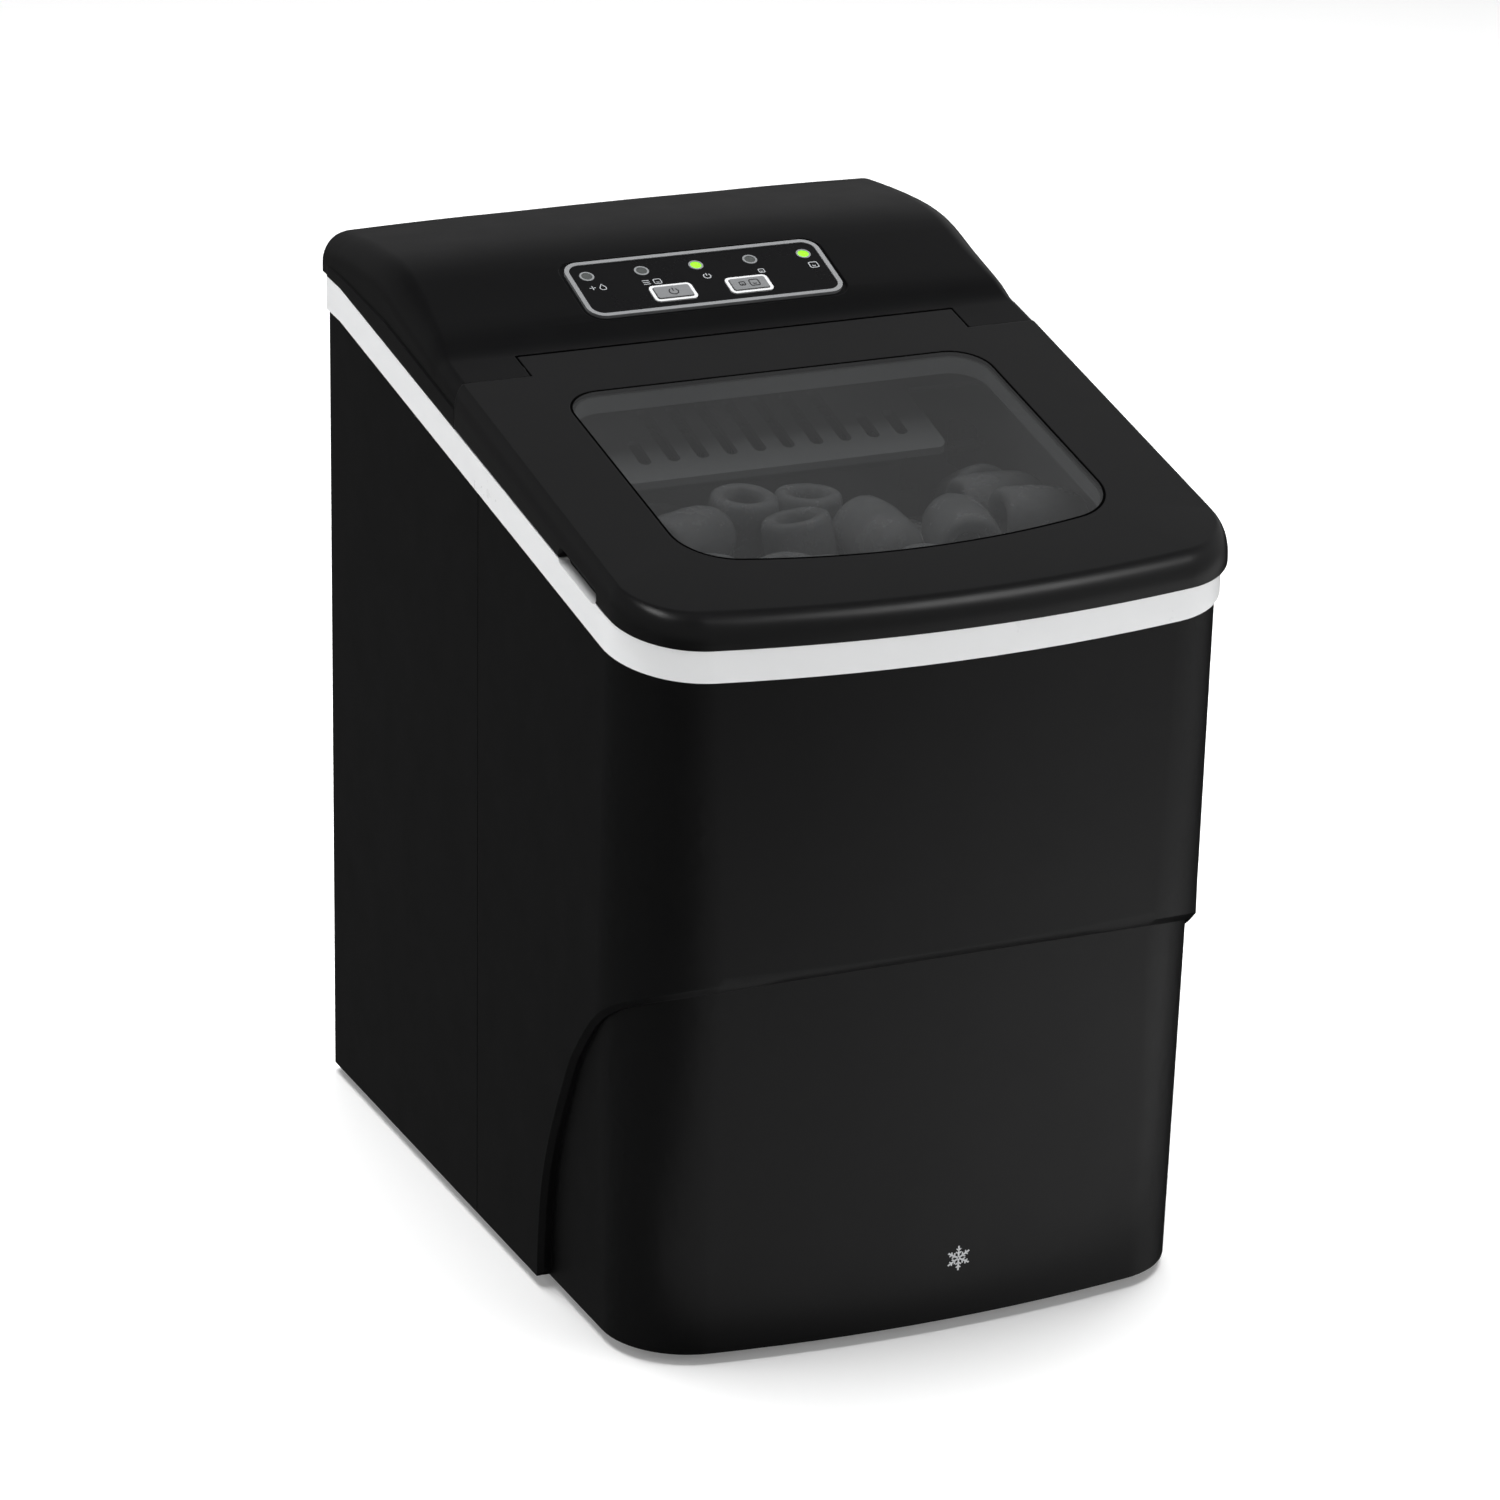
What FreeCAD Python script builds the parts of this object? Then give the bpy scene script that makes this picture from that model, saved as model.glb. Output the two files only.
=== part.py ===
import FreeCAD, Part
import os, math

# Countertop bullet-ice maker: drafted plastic cabinet, hinged windowed lid,
# lift-out basket, tilting water tray under a finger evaporator, and a small
# sealed refrigeration circuit. Millimetres, +Z up, +X to the right seen from
# the front, front faces -Y. Everything is drawn in a working frame and moved
# by Y_SHIFT when it is written, so that the origin is the centre of the
# bounding box on the plane the feet rest on.
os.makedirs("parts", exist_ok=True)
V = FreeCAD.Vector

# ---------------------------------------------------------------- dimensions
Y_SHIFT = 1.4
FOOT_H = 4.0
WALL = 2.5

HW = 111.0            # half width of the cabinet
Y_REAR = 150.5        # rear face
Y_FRONT = -149.1      # front face on the centre line, upper part
BOW = 10.8            # sagitta of the bowed front
RC_TOP = 31.0         # front corner radius at the band
RC_LEDGE = 36.0       # front corner radius at the ledge
R_REAR = 6.0

LOW_HW_TOP, LOW_HW_BOT = 108.2, 106.3      # inset lower front, half widths
LOW_YF_TOP, LOW_YF_BOT = -146.4, -141.3    # inset lower front, centre line
LEDGE_Z = 146.0

BAND_HW = 112.4
BAND_YF = -150.5
BAND_RC = 32.0
BAND_SLOPE = 0.1777
BAND_H = 12.1

LID_HW = 112.3
LID_YF = -153.3
LID_RC = 29.0
LID_SLOPE = 0.208
LID_Z0, LID_Y0 = 307.9, 21.35

HINGE_Y = 28.0
HINGE_DROP = 4.0
EAR_R = 8.7
EAR_GAP_R = 9.0
BARREL_R = 7.2
LIP_R = 8.2
TAB_X = 83.3
PIN_R = 3.0
PIN_BORE_R = 3.06

WIN_HW, WIN_YB, WIN_YF, WIN_BOW, WIN_RC, WIN_RB = 79.8, 5.0, -119.7, 11.0, 22.0, 14.0

PANEL_Y, PANEL_Z, PANEL_SLOPE = 65.0, 323.0, 0.35
PANEL_HX, PANEL_HV = 49.3, 16.5            # half length and half depth of the overlay
BTN_X = 14.65                              # button centres
BTN_TRAVEL = 1.0

TRAY_PY, TRAY_PZ = 96.0, 250.0             # tilting axis of the water tray
SHOVEL_PY, SHOVEL_PZ = 24.0, 262.0
FAN_X, FAN_Z = 54.0, 76.0
ICE_R, ICE_L = 13.0, 34.0


def lid_z(y, drop=0.0):
    return LID_Z0 + LID_SLOPE * (y - LID_Y0) - drop


HINGE_Z = lid_z(HINGE_Y, HINGE_DROP)


def band_lo(y):
    if y < 131.0:
        return 297.4 - BAND_SLOPE * (120.8 - y)
    return band_lo(130.999) + 0.07 * (y - 131.0)


def band_hi(y):
    return band_lo(y) + BAND_H


# ---------------------------------------------------------------- helpers
def box(x0, x1, y0, y1, z0, z1):
    return Part.makeBox(x1 - x0, y1 - y0, z1 - z0, V(x0, y0, z0))


def cyl(p, d, r, h):
    return Part.makeCylinder(r, h, V(*p), V(*d))


def fuse(shapes):
    shapes = [s for s in shapes if s is not None]
    if len(shapes) == 1:
        return shapes[0]
    return shapes[0].multiFuse(shapes[1:])


def cut(a, *b):
    for s in b:
        a = a.cut(s)
    return a


def prism_x(pts, x0=-200.0, x1=200.0):
    """Polygon of (y, z) points swept along X."""
    w = Part.makePolygon([V(x0, p[0], p[1]) for p in pts] + [V(x0, pts[0][0], pts[0][1])])
    return Part.Face(w).extrude(V(x1 - x0, 0, 0))


def prism_y(pts, y0, y1):
    w = Part.makePolygon([V(p[0], y0, p[1]) for p in pts] + [V(pts[0][0], y0, pts[0][1])])
    return Part.Face(w).extrude(V(0, y1 - y0, 0))


def outline(hw, yf, bow, rc, yb, rb, zf):
    """Closed plan outline: bowed front, round front corners, straight sides and
    rear. zf(x, y) gives the height of every corner point."""
    big = (hw * hw + bow * bow) / (2.0 * bow)
    cy0 = yf + big
    cx = hw - rc
    cy = cy0 - math.sqrt((big - rc) ** 2 - cx * cx)
    ux, uy = cx / (big - rc), (cy - cy0) / (big - rc)
    tx, ty = big * ux, cy0 + big * uy
    mx, my = 1.0 + ux, uy
    ml = math.hypot(mx, my)
    mx, my = cx + rc * mx / ml, cy + rc * my / ml
    q = rb * (1 - math.sqrt(0.5))

    def P(x, y):
        return V(x, y, zf(x, y))

    if rb > 0:
        e = [Part.LineSegment(P(-hw + rb, yb), P(hw - rb, yb)),
             Part.Arc(P(hw - rb, yb), P(hw - q, yb - q), P(hw, yb - rb)),
             Part.LineSegment(P(hw, yb - rb), P(hw, cy))]
    else:
        e = [Part.LineSegment(P(-hw, yb), P(hw, yb)), Part.LineSegment(P(hw, yb), P(hw, cy))]
    e += [Part.Arc(P(hw, cy), P(mx, my), P(tx, ty)),
          Part.Arc(P(tx, ty), P(0, yf), P(-tx, ty)),
          Part.Arc(P(-tx, ty), P(-mx, my), P(-hw, cy))]
    if rb > 0:
        e += [Part.LineSegment(P(-hw, cy), P(-hw, yb - rb)),
              Part.Arc(P(-hw, yb - rb), P(-hw + q, yb - q), P(-hw + rb, yb))]
    else:
        e += [Part.LineSegment(P(-hw, cy), P(-hw, yb))]
    return Part.Wire([s.toShape() for s in e])


def flat(z):
    return lambda x, y: z


def plan(hw, yf, bow, rc, yb, rb, z0, z1):
    """Straight-walled body of the plan outline."""
    return Part.Face(outline(hw, yf, bow, rc, yb, rb, flat(z0))).extrude(V(0, 0, z1 - z0))


def loft(wires, ruled=True):
    return Part.makeLoft(wires, True, ruled)


def rod(points, r, bend=None):
    """Round bar or tube body along a polyline, with a ball at each corner."""
    out = []
    for a, b in zip(points[:-1], points[1:]):
        a, b = V(*a), V(*b)
        d = b.sub(a)
        out.append(Part.makeCylinder(r, d.Length, a, d))
    for p in points[1:-1]:
        out.append(Part.makeSphere(r, V(*p)))
    return fuse(out)


def pipe(points, r, bend):
    """Round section swept along straight runs joined by tangent arcs."""
    P = [V(*p) for p in points]
    keep = [P[0]]
    for i in range(1, len(P) - 1):
        if P[i].sub(keep[-1]).getAngle(P[i + 1].sub(P[i])) > 1e-3:
            keep.append(P[i])
    P = keep + [P[-1]]
    edges, last = [], P[0]
    for i in range(1, len(P) - 1):
        a, b, c = P[i - 1], P[i], P[i + 1]
        u = a.sub(b).normalize()
        w = c.sub(b).normalize()
        ang = u.getAngle(w)
        t = min(bend / math.tan(ang / 2), 0.48 * a.sub(b).Length, 0.48 * c.sub(b).Length)
        rr = t * math.tan(ang / 2)
        p0, p1 = b.add(u.multiply(t)), b.add(w.multiply(t))
        u = a.sub(b).normalize()
        w = c.sub(b).normalize()
        bis = u.add(w).normalize()
        mid = b.add(bis.multiply(rr / math.sin(ang / 2) - rr))
        if last.sub(p0).Length > 1e-6:
            edges.append(Part.LineSegment(last, p0).toShape())
        edges.append(Part.Arc(p0, mid, p1).toShape())
        last = p1
    edges.append(Part.LineSegment(last, P[-1]).toShape())
    path = Part.Wire(edges)
    d = P[1].sub(P[0])
    prof = Part.Wire([Part.Circle(P[0], d, r).toShape()])
    s = path.makePipeShell([prof], True, True)
    return s


def rounded_rect_face(hx, hy, r, at):
    """Rounded rectangle in the local XY plane; at maps (u, v) to a point."""
    q = r * (1 - math.sqrt(0.5))
    e = [Part.LineSegment(at(-hx + r, hy), at(hx - r, hy)),
         Part.Arc(at(hx - r, hy), at(hx - q, hy - q), at(hx, hy - r)),
         Part.LineSegment(at(hx, hy - r), at(hx, -hy + r)),
         Part.Arc(at(hx, -hy + r), at(hx - q, -hy + q), at(hx - r, -hy)),
         Part.LineSegment(at(hx - r, -hy), at(-hx + r, -hy)),
         Part.Arc(at(-hx + r, -hy), at(-hx + q, -hy + q), at(-hx, -hy + r)),
         Part.LineSegment(at(-hx, -hy + r), at(-hx, hy - r)),
         Part.Arc(at(-hx, hy - r), at(-hx + q, hy - q), at(-hx + r, hy))]
    return Part.Face(Part.Wire([s.toShape() for s in e]))


NODES = {}


def save(name, shape):
    solids = shape.Solids
    s = solids[0] if len(solids) == 1 else Part.makeCompound(solids)
    s = s.copy()
    s.translate(V(0, Y_SHIFT, 0))
    NODES[name] = s
    s.exportStep("parts/" + name + ".step")
    bb = s.BoundBox
    print("%-22s solids %2d valid %s vol %9.0f  x %.1f..%.1f y %.1f..%.1f z %.1f..%.1f" % (
        name, len(solids), s.isValid(), s.Volume, bb.XMin, bb.XMax, bb.YMin, bb.YMax, bb.ZMin, bb.ZMax))


# ---------------------------------------------------------------- cabinet shells
below_band = prism_x([(-170, band_lo(-170)), (131, band_lo(131)), (170, band_lo(170)), (170, -20), (-170, -20)])

a_out = loft([outline(HW, Y_FRONT, BOW, RC_LEDGE, 60, 0, flat(FOOT_H)),
              outline(HW, Y_FRONT, BOW, RC_LEDGE, 60, 0, flat(LEDGE_Z)),
              outline(HW, Y_FRONT, BOW, RC_TOP, 60, 0, flat(262.0)),
              outline(HW, Y_FRONT, BOW, RC_TOP, 60, 0, flat(320.0))])
a_in = loft([outline(HW - WALL, Y_FRONT + WALL, BOW, RC_LEDGE - WALL, 60, 0, flat(-5.0)),
             outline(HW - WALL, Y_FRONT + WALL, BOW, RC_LEDGE - WALL, 60, 0, flat(LEDGE_Z)),
             outline(HW - WALL, Y_FRONT + WALL, BOW, RC_TOP - WALL, 60, 0, flat(262.0)),
             outline(HW - WALL, Y_FRONT + WALL, BOW, RC_TOP - WALL, 60, 0, flat(330.0))])
b_out = loft([outline(LOW_HW_BOT, LOW_YF_BOT, BOW, 31.0, 60, 0, flat(FOOT_H - 2)),
              outline(LOW_HW_TOP, LOW_YF_TOP, BOW, 34.0, 60, 0, flat(LEDGE_Z + 6))])
b_in = loft([outline(LOW_HW_BOT - WALL, LOW_YF_BOT + WALL, BOW, 31.0 - WALL, 60, 0, flat(FOOT_H - 2)),
             outline(LOW_HW_TOP - WALL, LOW_YF_TOP + WALL, BOW, 34.0 - WALL, 60, 0, flat(LEDGE_Z + 6))])

# The ledge line: across the front, round the corner and down the side.
sweep_pts = [(-165, 149.6), (-149.1, 143.5), (-141.0, 139.6), (-131, 135.0), (-120, 129.4), (-111.3, 123.6),
             (-101, 114.4), (-94, 106.3), (-87.2, 97.4), (-80.3, 85.0), (-73.3, 70.8), (-67.2, 56.4),
             (-62.9, 43.0), (-60.6, 30.9), (-59.3, 19.1), (-58.6, 7.0), (-58.3, -6.0)]
curve = Part.BSplineCurve()
curve.interpolate([V(-200, p[0], p[1]) for p in sweep_pts])
zone_face = Part.Face(Part.Wire([curve.toShape(),
                                 Part.LineSegment(V(-200, -58.3, -6.0), V(-200, -165, -6.0)).toShape(),
                                 Part.LineSegment(V(-200, -165, -6.0), V(-200, -165, 149.6)).toShape()]))
zone = zone_face.extrude(V(400, 0, 0))

front = a_out.cut(zone.cut(b_out))
step_edges = []
for e in front.Edges:
    c = e.CenterOfMass
    m = e.valueAt(0.5 * (e.FirstParameter + e.LastParameter))
    bb = e.BoundBox
    if e.Length < 3 or bb.ZMin < 3.9 and bb.ZMax < 4.1:
        continue
    # keep the edges of the sweep that lie on the outer skin
    d = min(((m.y - p[0]) ** 2 + (m.z - p[1]) ** 2) ** 0.5 for p in
            [(curve.value(curve.FirstParameter + k / 400.0 * (curve.LastParameter - curve.FirstParameter)).y,
              curve.value(curve.FirstParameter + k / 400.0 * (curve.LastParameter - curve.FirstParameter)).z) for k in range(401)])
    if d < 0.6 and m.y < -40:
        vx = Part.Vertex(m)
        dist = vx.distToShape(a_out.Shells[0])[0]
        db = vx.distToShape(b_out.Shells[0])[0]
        if dist < 0.05 and db > 1.0:
            step_edges.append(e)
print("step edges", len(step_edges), [round(e.Length, 1) for e in step_edges])
for size in ((2.6, 1.9), (2.0, 1.5), (1.4, 1.2)):
    try:
        f2 = front.makeChamfer(size[1], step_edges)
        if f2.isValid() and f2.Volume > 0:
            front = f2
            print("step chamfer", size[1])
            break
    except Exception as ex:
        print("chamfer failed", size, ex)

cavity = fuse([a_in.common(box(-150, 150, -170, 60, LEDGE_Z + 5, 330)),
               b_in.common(box(-150, 150, -170, 60, 0, LEDGE_Z + 5.5)),
               a_in.common(box(-150, 150, -52, 60, -5, 200))])
front = cut(front, cavity)
front = front.common(box(-150, 150, -170, -0.2, FOOT_H, 330)).common(below_band)
# screw bosses behind the lower front, standing on the base
save("front_housing", front)

rear = plan(HW, -60, BOW, 30, Y_REAR, R_REAR, FOOT_H, 320)
rear = cut(rear, plan(HW - WALL, -58, BOW, 28, Y_REAR - WALL, R_REAR - WALL, -5, 330))
rear = rear.common(box(-150, 150, 0.2, 160, FOOT_H, 330))
# joint tongues that lap inside the front housing
tongue = fuse([box(HW - WALL - 2.0, HW - WALL - 0.25, -6, 6, 26, 262), box(-HW + WALL + 0.25, -HW + WALL + 2.0, -6, 6, 26, 262)])
tongue_root = fuse([box(HW - WALL - 2.0, HW - WALL + 0.5, 1, 6, 26, 262), box(-HW + WALL - 0.5, -HW + WALL + 2.0, 1, 6, 26, 262)])
rear = fuse([rear, tongue, tongue_root]).common(below_band)
# exhaust louvres in the rear face and intake slots low on the right side
slots = []
for k in range(13):
    z = 24 + k * 9.0
    slots.append(box(8, 100, 140, 160, z, z + 4.0))
for k in range(9):
    y = 46 + k * 9.0
    slots.append(box(100, 120, y, y + 4.0, 28, 118))
rear = cut(rear, Part.makeCompound(slots))
CORD_X, CORD_Z, CORD_R = -70.0, 40.0, 5.0
DRAIN_X, DRAIN_Z = -96.0, 32.0
rear = cut(rear, cyl((CORD_X, 130, CORD_Z), (0, 1, 0), 8.0, 40), cyl((DRAIN_X, 130, DRAIN_Z), (0, 1, 0), 7.0, 40))
SCREW_AT = [(-100, 14), (100, 14), (-100, 200), (100, 200), (0, 290)]
for x, z in SCREW_AT:
    rear = cut(rear, cyl((x, 140, z), (0, 1, 0), 1.9, 20), cyl((x, 149.0, z), (0, 1, 0), 3.6, 5))
save("rear_housing", rear)
screws = []
for x, z in SCREW_AT:
    head = cyl((x, 149.0, z), (0, 1, 0), 3.4, 1.3)
    head = cut(head, box(x - 2.2, x + 2.2, 149.7, 151, z - 0.45, z + 0.45), box(x - 0.45, x + 0.45, 149.7, 151, z - 2.2, z + 2.2))
    screws.append(fuse([head, cyl((x, 138.0, z), (0, 1, 0), 1.6, 11.2)]))
save("housing_screws", Part.makeCompound(screws))

# ---------------------------------------------------------------- trim band
slab = prism_x([(-170, band_lo(-170)), (131, band_lo(131)), (170, band_lo(170)),
                (170, band_hi(170)), (131, band_hi(131)), (-170, band_hi(-170))])
band = plan(BAND_HW, BAND_YF, BOW, BAND_RC, Y_REAR, R_REAR + 1, 200, 340).cut(
    plan(HW - WALL, BAND_YF + 3.9, BOW, BAND_RC - 3.9, Y_REAR - WALL, R_REAR - WALL, 190, 350))
band = band.common(slab)
NOTCH_Y0, NOTCH_Y1 = -108.0, -75.0


def notch(y0, y1, up, down, side, x_in, x_out):
    """Finger notch body: long slot with round ends, following the band's slope."""
    ym = 0.5 * (y0 + y1)
    r = 0.5 * (up + down)
    zc = band_hi(ym) + 0.5 * (up - down)
    ang = math.degrees(math.atan(BAND_SLOPE))
    L = (y1 - y0) - 2 * r
    b = Part.makeBox(x_out - x_in, L, 2 * r, V(x_in, -L / 2, -r))
    s = fuse([b, Part.makeCylinder(r, x_out - x_in, V(x_in, -L / 2, 0), V(1, 0, 0)),
              Part.makeCylinder(r, x_out - x_in, V(x_in, L / 2, 0), V(1, 0, 0))])
    s.rotate(V(0, 0, 0), V(1, 0, 0), ang)
    s.translate(V(0, ym, zc))
    if side < 0:
        s = s.mirror(V(0, 0, 0), V(1, 0, 0))
    return s


notches = [notch(NOTCH_Y0, NOTCH_Y1, 4.8, 1.2, s, 107.0, 116.0) for s in (1, -1)]
band = cut(band, *notches)
save("trim_band", band)

# ---------------------------------------------------------------- base and feet
base = plan(103.2, -138.0, BOW, 28, 147.4, 3, FOOT_H + 0.6, FOOT_H + 3.6)
rim = plan(103.2, -138.0, BOW, 28, 147.4, 3, FOOT_H + 0.6, 22).cut(plan(100.7, -135.5, BOW, 25.5, 144.9, 2, 0, 30))
FEET = [(-84, -108), (84, -108), (-88, 128), (88, 128)]
base = fuse([base, rim])
for x, y in FEET:
    base = cut(base, cyl((x, y, 0), (0, 0, 1), 4.0, 12))
for x, z in SCREW_AT[:2]:
    base = cut(base, cyl((x, 120, z), (0, 1, 0), 1.6, 40))
COMP = (-48.0, 88.0)
COMP_FEET = [(COMP[0] + 50 * math.cos(math.radians(a)), COMP[1] + 50 * math.sin(math.radians(a))) for a in (-20, 95, 205)]
for x, y in COMP_FEET:
    base = cut(base, cyl((x, y, 0), (0, 0, 1), 2.5, 12))
# vents under the fan
base = cut(base, Part.makeCompound([box(20 + 9 * k, 24 + 9 * k, 50, 96, 0, 12) for k in range(8)]))
save("base_tray", base)
feet = []
for x, y in FEET:
    f = Part.makeCone(8.6, 9.4, FOOT_H + 0.6, V(x, y, 0))
    f = cut(f, Part.makeCylinder(4.0, 1.0, V(x, y, 0)))
    feet.append(fuse([f, Part.makeCylinder(3.95, 4.4, V(x, y, FOOT_H - 0.2))]))
save("rubber_feet", Part.makeCompound(feet))

# ---------------------------------------------------------------- lid
# The lid's edge: slight break at the flat top, an elliptical round-over, then straight down to the band.
LID_YB = 60.0


def lid_section(inset_s, inset_f, drop, grow=0.0):
    hw = LID_HW - inset_s
    return outline(hw, LID_YF + inset_f, BOW, max(LID_RC - 0.5 * (inset_s + inset_f), 12), LID_YB, 0,
                   lambda x, y: lid_z(y, drop))


EDGE_S, EDGE_F, EDGE_D = 4.2, 7.8, 9.0     # round-over: in at the sides, in at the front, depth
prof = []
for deg in (12, 23, 34, 45, 56, 67, 79, 90):
    q = math.radians(deg)
    prof.append((EDGE_S * (1 - math.sin(q)), EDGE_F * (1 - math.sin(q)), EDGE_D * (1 - math.cos(q)) - EDGE_D * (1 - math.cos(math.radians(12)))))
prof.append((0.0, 0.0, 30.0))
top_solid = loft([lid_section(a, b, d) for a, b, d in prof], ruled=True)
full_lo = prism_x([(-175, band_hi(-175) + 0.45), (60, band_hi(60) + 0.45), (60, 340), (-175, 340)])
lid_body = top_solid.common(full_lo)
lid_cav = plan(LID_HW - 3.9, LID_YF + 4.6, BOW, LID_RC - 4, 80, 0, 150, 345)
lid_cav = lid_cav.common(prism_x([(-175, lid_z(-175, 3.0)), (80, lid_z(80, 3.0)), (80, 150), (-175, 150)]))
lid_body = lid_body.cut(lid_cav)
# plug lip that drops inside the band
lip = plan(HW - WALL - 0.9, BAND_YF + 3.9 + 2.6, BOW, BAND_RC - 6, 12, 0, 200, 340).cut(
    plan(HW - WALL - 2.9, BAND_YF + 3.9 + 4.6, BOW, BAND_RC - 8, 14, 0, 190, 350))
lip = lip.common(prism_x([(-175, band_hi(-175) - 5.5), (12, band_hi(12) - 5.5), (12, lid_z(12, 2.0)), (-175, lid_z(-175, 2.0))]))
lip = lip.cut(box(-104, 104, 9, 20, 200, 350))
lid_body = fuse([lid_body, lip])
# rear end: concave round the hood's ears outboard, hinge barrel inboard
ear_cut_prof = fuse([cyl((-200, HINGE_Y, HINGE_Z), (1, 0, 0), EAR_GAP_R, 400),
                     box(-200, 200, HINGE_Y, 90, 200, 350),
                     box(-200, 200, HINGE_Y - EAR_GAP_R, 90, 200, HINGE_Z)])
inner_rear_cut = box(-TAB_X, TAB_X, HINGE_Y, 90, 200, 350)
lid_body = lid_body.cut(ear_cut_prof.cut(box(-TAB_X, TAB_X, -10, 95, 150, 380)))
lid_body = lid_body.cut(inner_rear_cut)
barrel = cyl((-TAB_X, HINGE_Y, HINGE_Z), (1, 0, 0), BARREL_R, 2 * TAB_X)
barrel = barrel.common(prism_x([(-30, lid_z(-30)), (60, lid_z(60)), (60, 200), (-30, 200)]))
lid_body = fuse([lid_body, barrel])
for s in (1, -1):
    lid_body = lid_body.cut(cyl((s * 62, HINGE_Y, HINGE_Z), (s, 0, 0), PIN_R, 60))
# window opening and its seat
win_out = plan(WIN_HW, WIN_YF, WIN_BOW, WIN_RC, WIN_YB, WIN_RB, 200, 360)
lid_body = cut(lid_body, win_out)
lid_body = cut(lid_body, *[notch(NOTCH_Y0, NOTCH_Y1, 4.8, 1.2, s, 109.2, 116.0) for s in (1, -1)])
save("lid_frame", lid_body)
pins = [cyl((s * 62.0, HINGE_Y, HINGE_Z), (s, 0, 0), PIN_R, 33.0) for s in (1, -1)]
save("lid_hinge_pins", Part.makeCompound(pins))
GLASS_T = 1.6
SEAL_W = 0.45
LID_T = 3.0
seal = plan(WIN_HW, WIN_YF, WIN_BOW, WIN_RC, WIN_YB, WIN_RB, 200, 360).cut(
    plan(WIN_HW - SEAL_W, WIN_YF + SEAL_W, WIN_BOW, WIN_RC - SEAL_W, WIN_YB - SEAL_W, WIN_RB - SEAL_W, 190, 370))
seal = seal.common(prism_x([(-150, lid_z(-150, 0.35)), (40, lid_z(40, 0.35)), (40, lid_z(40, GLASS_T)), (-150, lid_z(-150, GLASS_T))]))
save("window_seal", seal)
glass = plan(WIN_HW - SEAL_W, WIN_YF + SEAL_W, WIN_BOW, WIN_RC - SEAL_W, WIN_YB - SEAL_W, WIN_RB - SEAL_W, 200, 360)
glass = glass.common(prism_x([(-150, lid_z(-150, 0.05)), (40, lid_z(40, 0.05)), (40, lid_z(40, GLASS_T)), (-150, lid_z(-150, GLASS_T))]))
save("lid_window", glass)
inner_fl = plan(WIN_HW + 7, WIN_YF - 7, WIN_BOW, WIN_RC + 5, WIN_YB + 8, WIN_RB + 5, 200, 360).cut(
    plan(WIN_HW - 1.8, WIN_YF + 1.8, WIN_BOW, WIN_RC - 1.8, WIN_YB - 1.8, WIN_RB - 1.8, 190, 370))
inner_fl = inner_fl.common(prism_x([(-150, lid_z(-150, LID_T)), (40, lid_z(40, LID_T)), (40, lid_z(40, LID_T + 1.8)), (-150, lid_z(-150, LID_T + 1.8))]))
wallr = plan(WIN_HW - 0.12, WIN_YF + 0.12, WIN_BOW, WIN_RC - 0.12, WIN_YB - 0.12, WIN_RB - 0.12, 200, 360).cut(
    plan(WIN_HW - 1.8, WIN_YF + 1.8, WIN_BOW, WIN_RC - 1.8, WIN_YB - 1.8, WIN_RB - 1.8, 190, 370))
wallr = wallr.common(prism_x([(-150, lid_z(-150, GLASS_T)), (40, lid_z(40, GLASS_T)), (40, lid_z(40, LID_T + 4.4)), (-150, lid_z(-150, LID_T + 4.4))]))
inner_ring = fuse([inner_fl, wallr])
LID_SCREWS = [(-83.6, -20), (83.6, -20), (-83.6, -70), (83.6, -70), (-40, 9.5), (40, 9.5)]
for x, y in LID_SCREWS:
    inner_ring = inner_ring.cut(cyl((x, y, 200), (0, 0, 1), 1.2, 150))
save("lid_inner_frame", inner_ring)
sc = []
for x, y in LID_SCREWS:
    zt = lid_z(y, LID_T)
    s = fuse([cyl((x, y, zt - 2 - 2.6), (0, 0, 1), 2.6, 1.8), cyl((x, y, zt - 3.2), (0, 0, 1), 1.1, 3.0)])
    sc.append(s)
save("lid_screws", Part.makeCompound(sc))
bump = []
for x in (-60.0, 60.0):
    bump.append(box(x - 7, x + 7, -137.5, -133.2, 245, 275).common(
        prism_x([(-175, band_lo(-175) + 3.05), (0, band_lo(0) + 3.05), (0, lid_z(0, 3.0)), (-175, lid_z(-175, 3.0))])))
save("lid_bumpers", Part.makeCompound(bump))

# ---------------------------------------------------------------- hood
HOOD_PROFILE = [(12.0, lid_z(12)), (20.0, lid_z(20)), (34.2, lid_z(34.2)), (38.0, lid_z(38) + 0.25), (42.0, 313.7),
                (46.0, 316.05), (50.0, 317.75), (58.0, 320.55), (70.0, 324.75), (80.0, 328.2), (86.0, 330.0), (92.0, 331.2),
                (99.0, 331.9), (108.0, 332.0), (120.0, 331.5), (135.0, 330.4), (146.0, 329.4), (152.0, 328.8)]


def lerp(tab, y):
    for (a, b), (c, d) in zip(tab[:-1], tab[1:]):
        if a <= y <= c:
            return b + (d - b) * (y - a) / (c - a)
    return tab[-1][1] if y > tab[-1][0] else tab[0][1]


HOOD_RX = [(0, 3.6), (34, 4.2), (50, 7.0), (70, 9.5), (95, 10.5), (152, 10.5)]   # width of the side round-over
HOOD_RZ = [(0, 7.5), (34, 8.0), (50, 9.5), (70, 10.5), (95, 11.0), (152, 11.0)]  # its height
HOOD_CROWN = [(0, 0.0), (34, 0.0), (50, 0.5), (70, 1.0), (100, 1.5), (152, 1.7)]
HOOD_HW = LID_HW - 0.55


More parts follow.
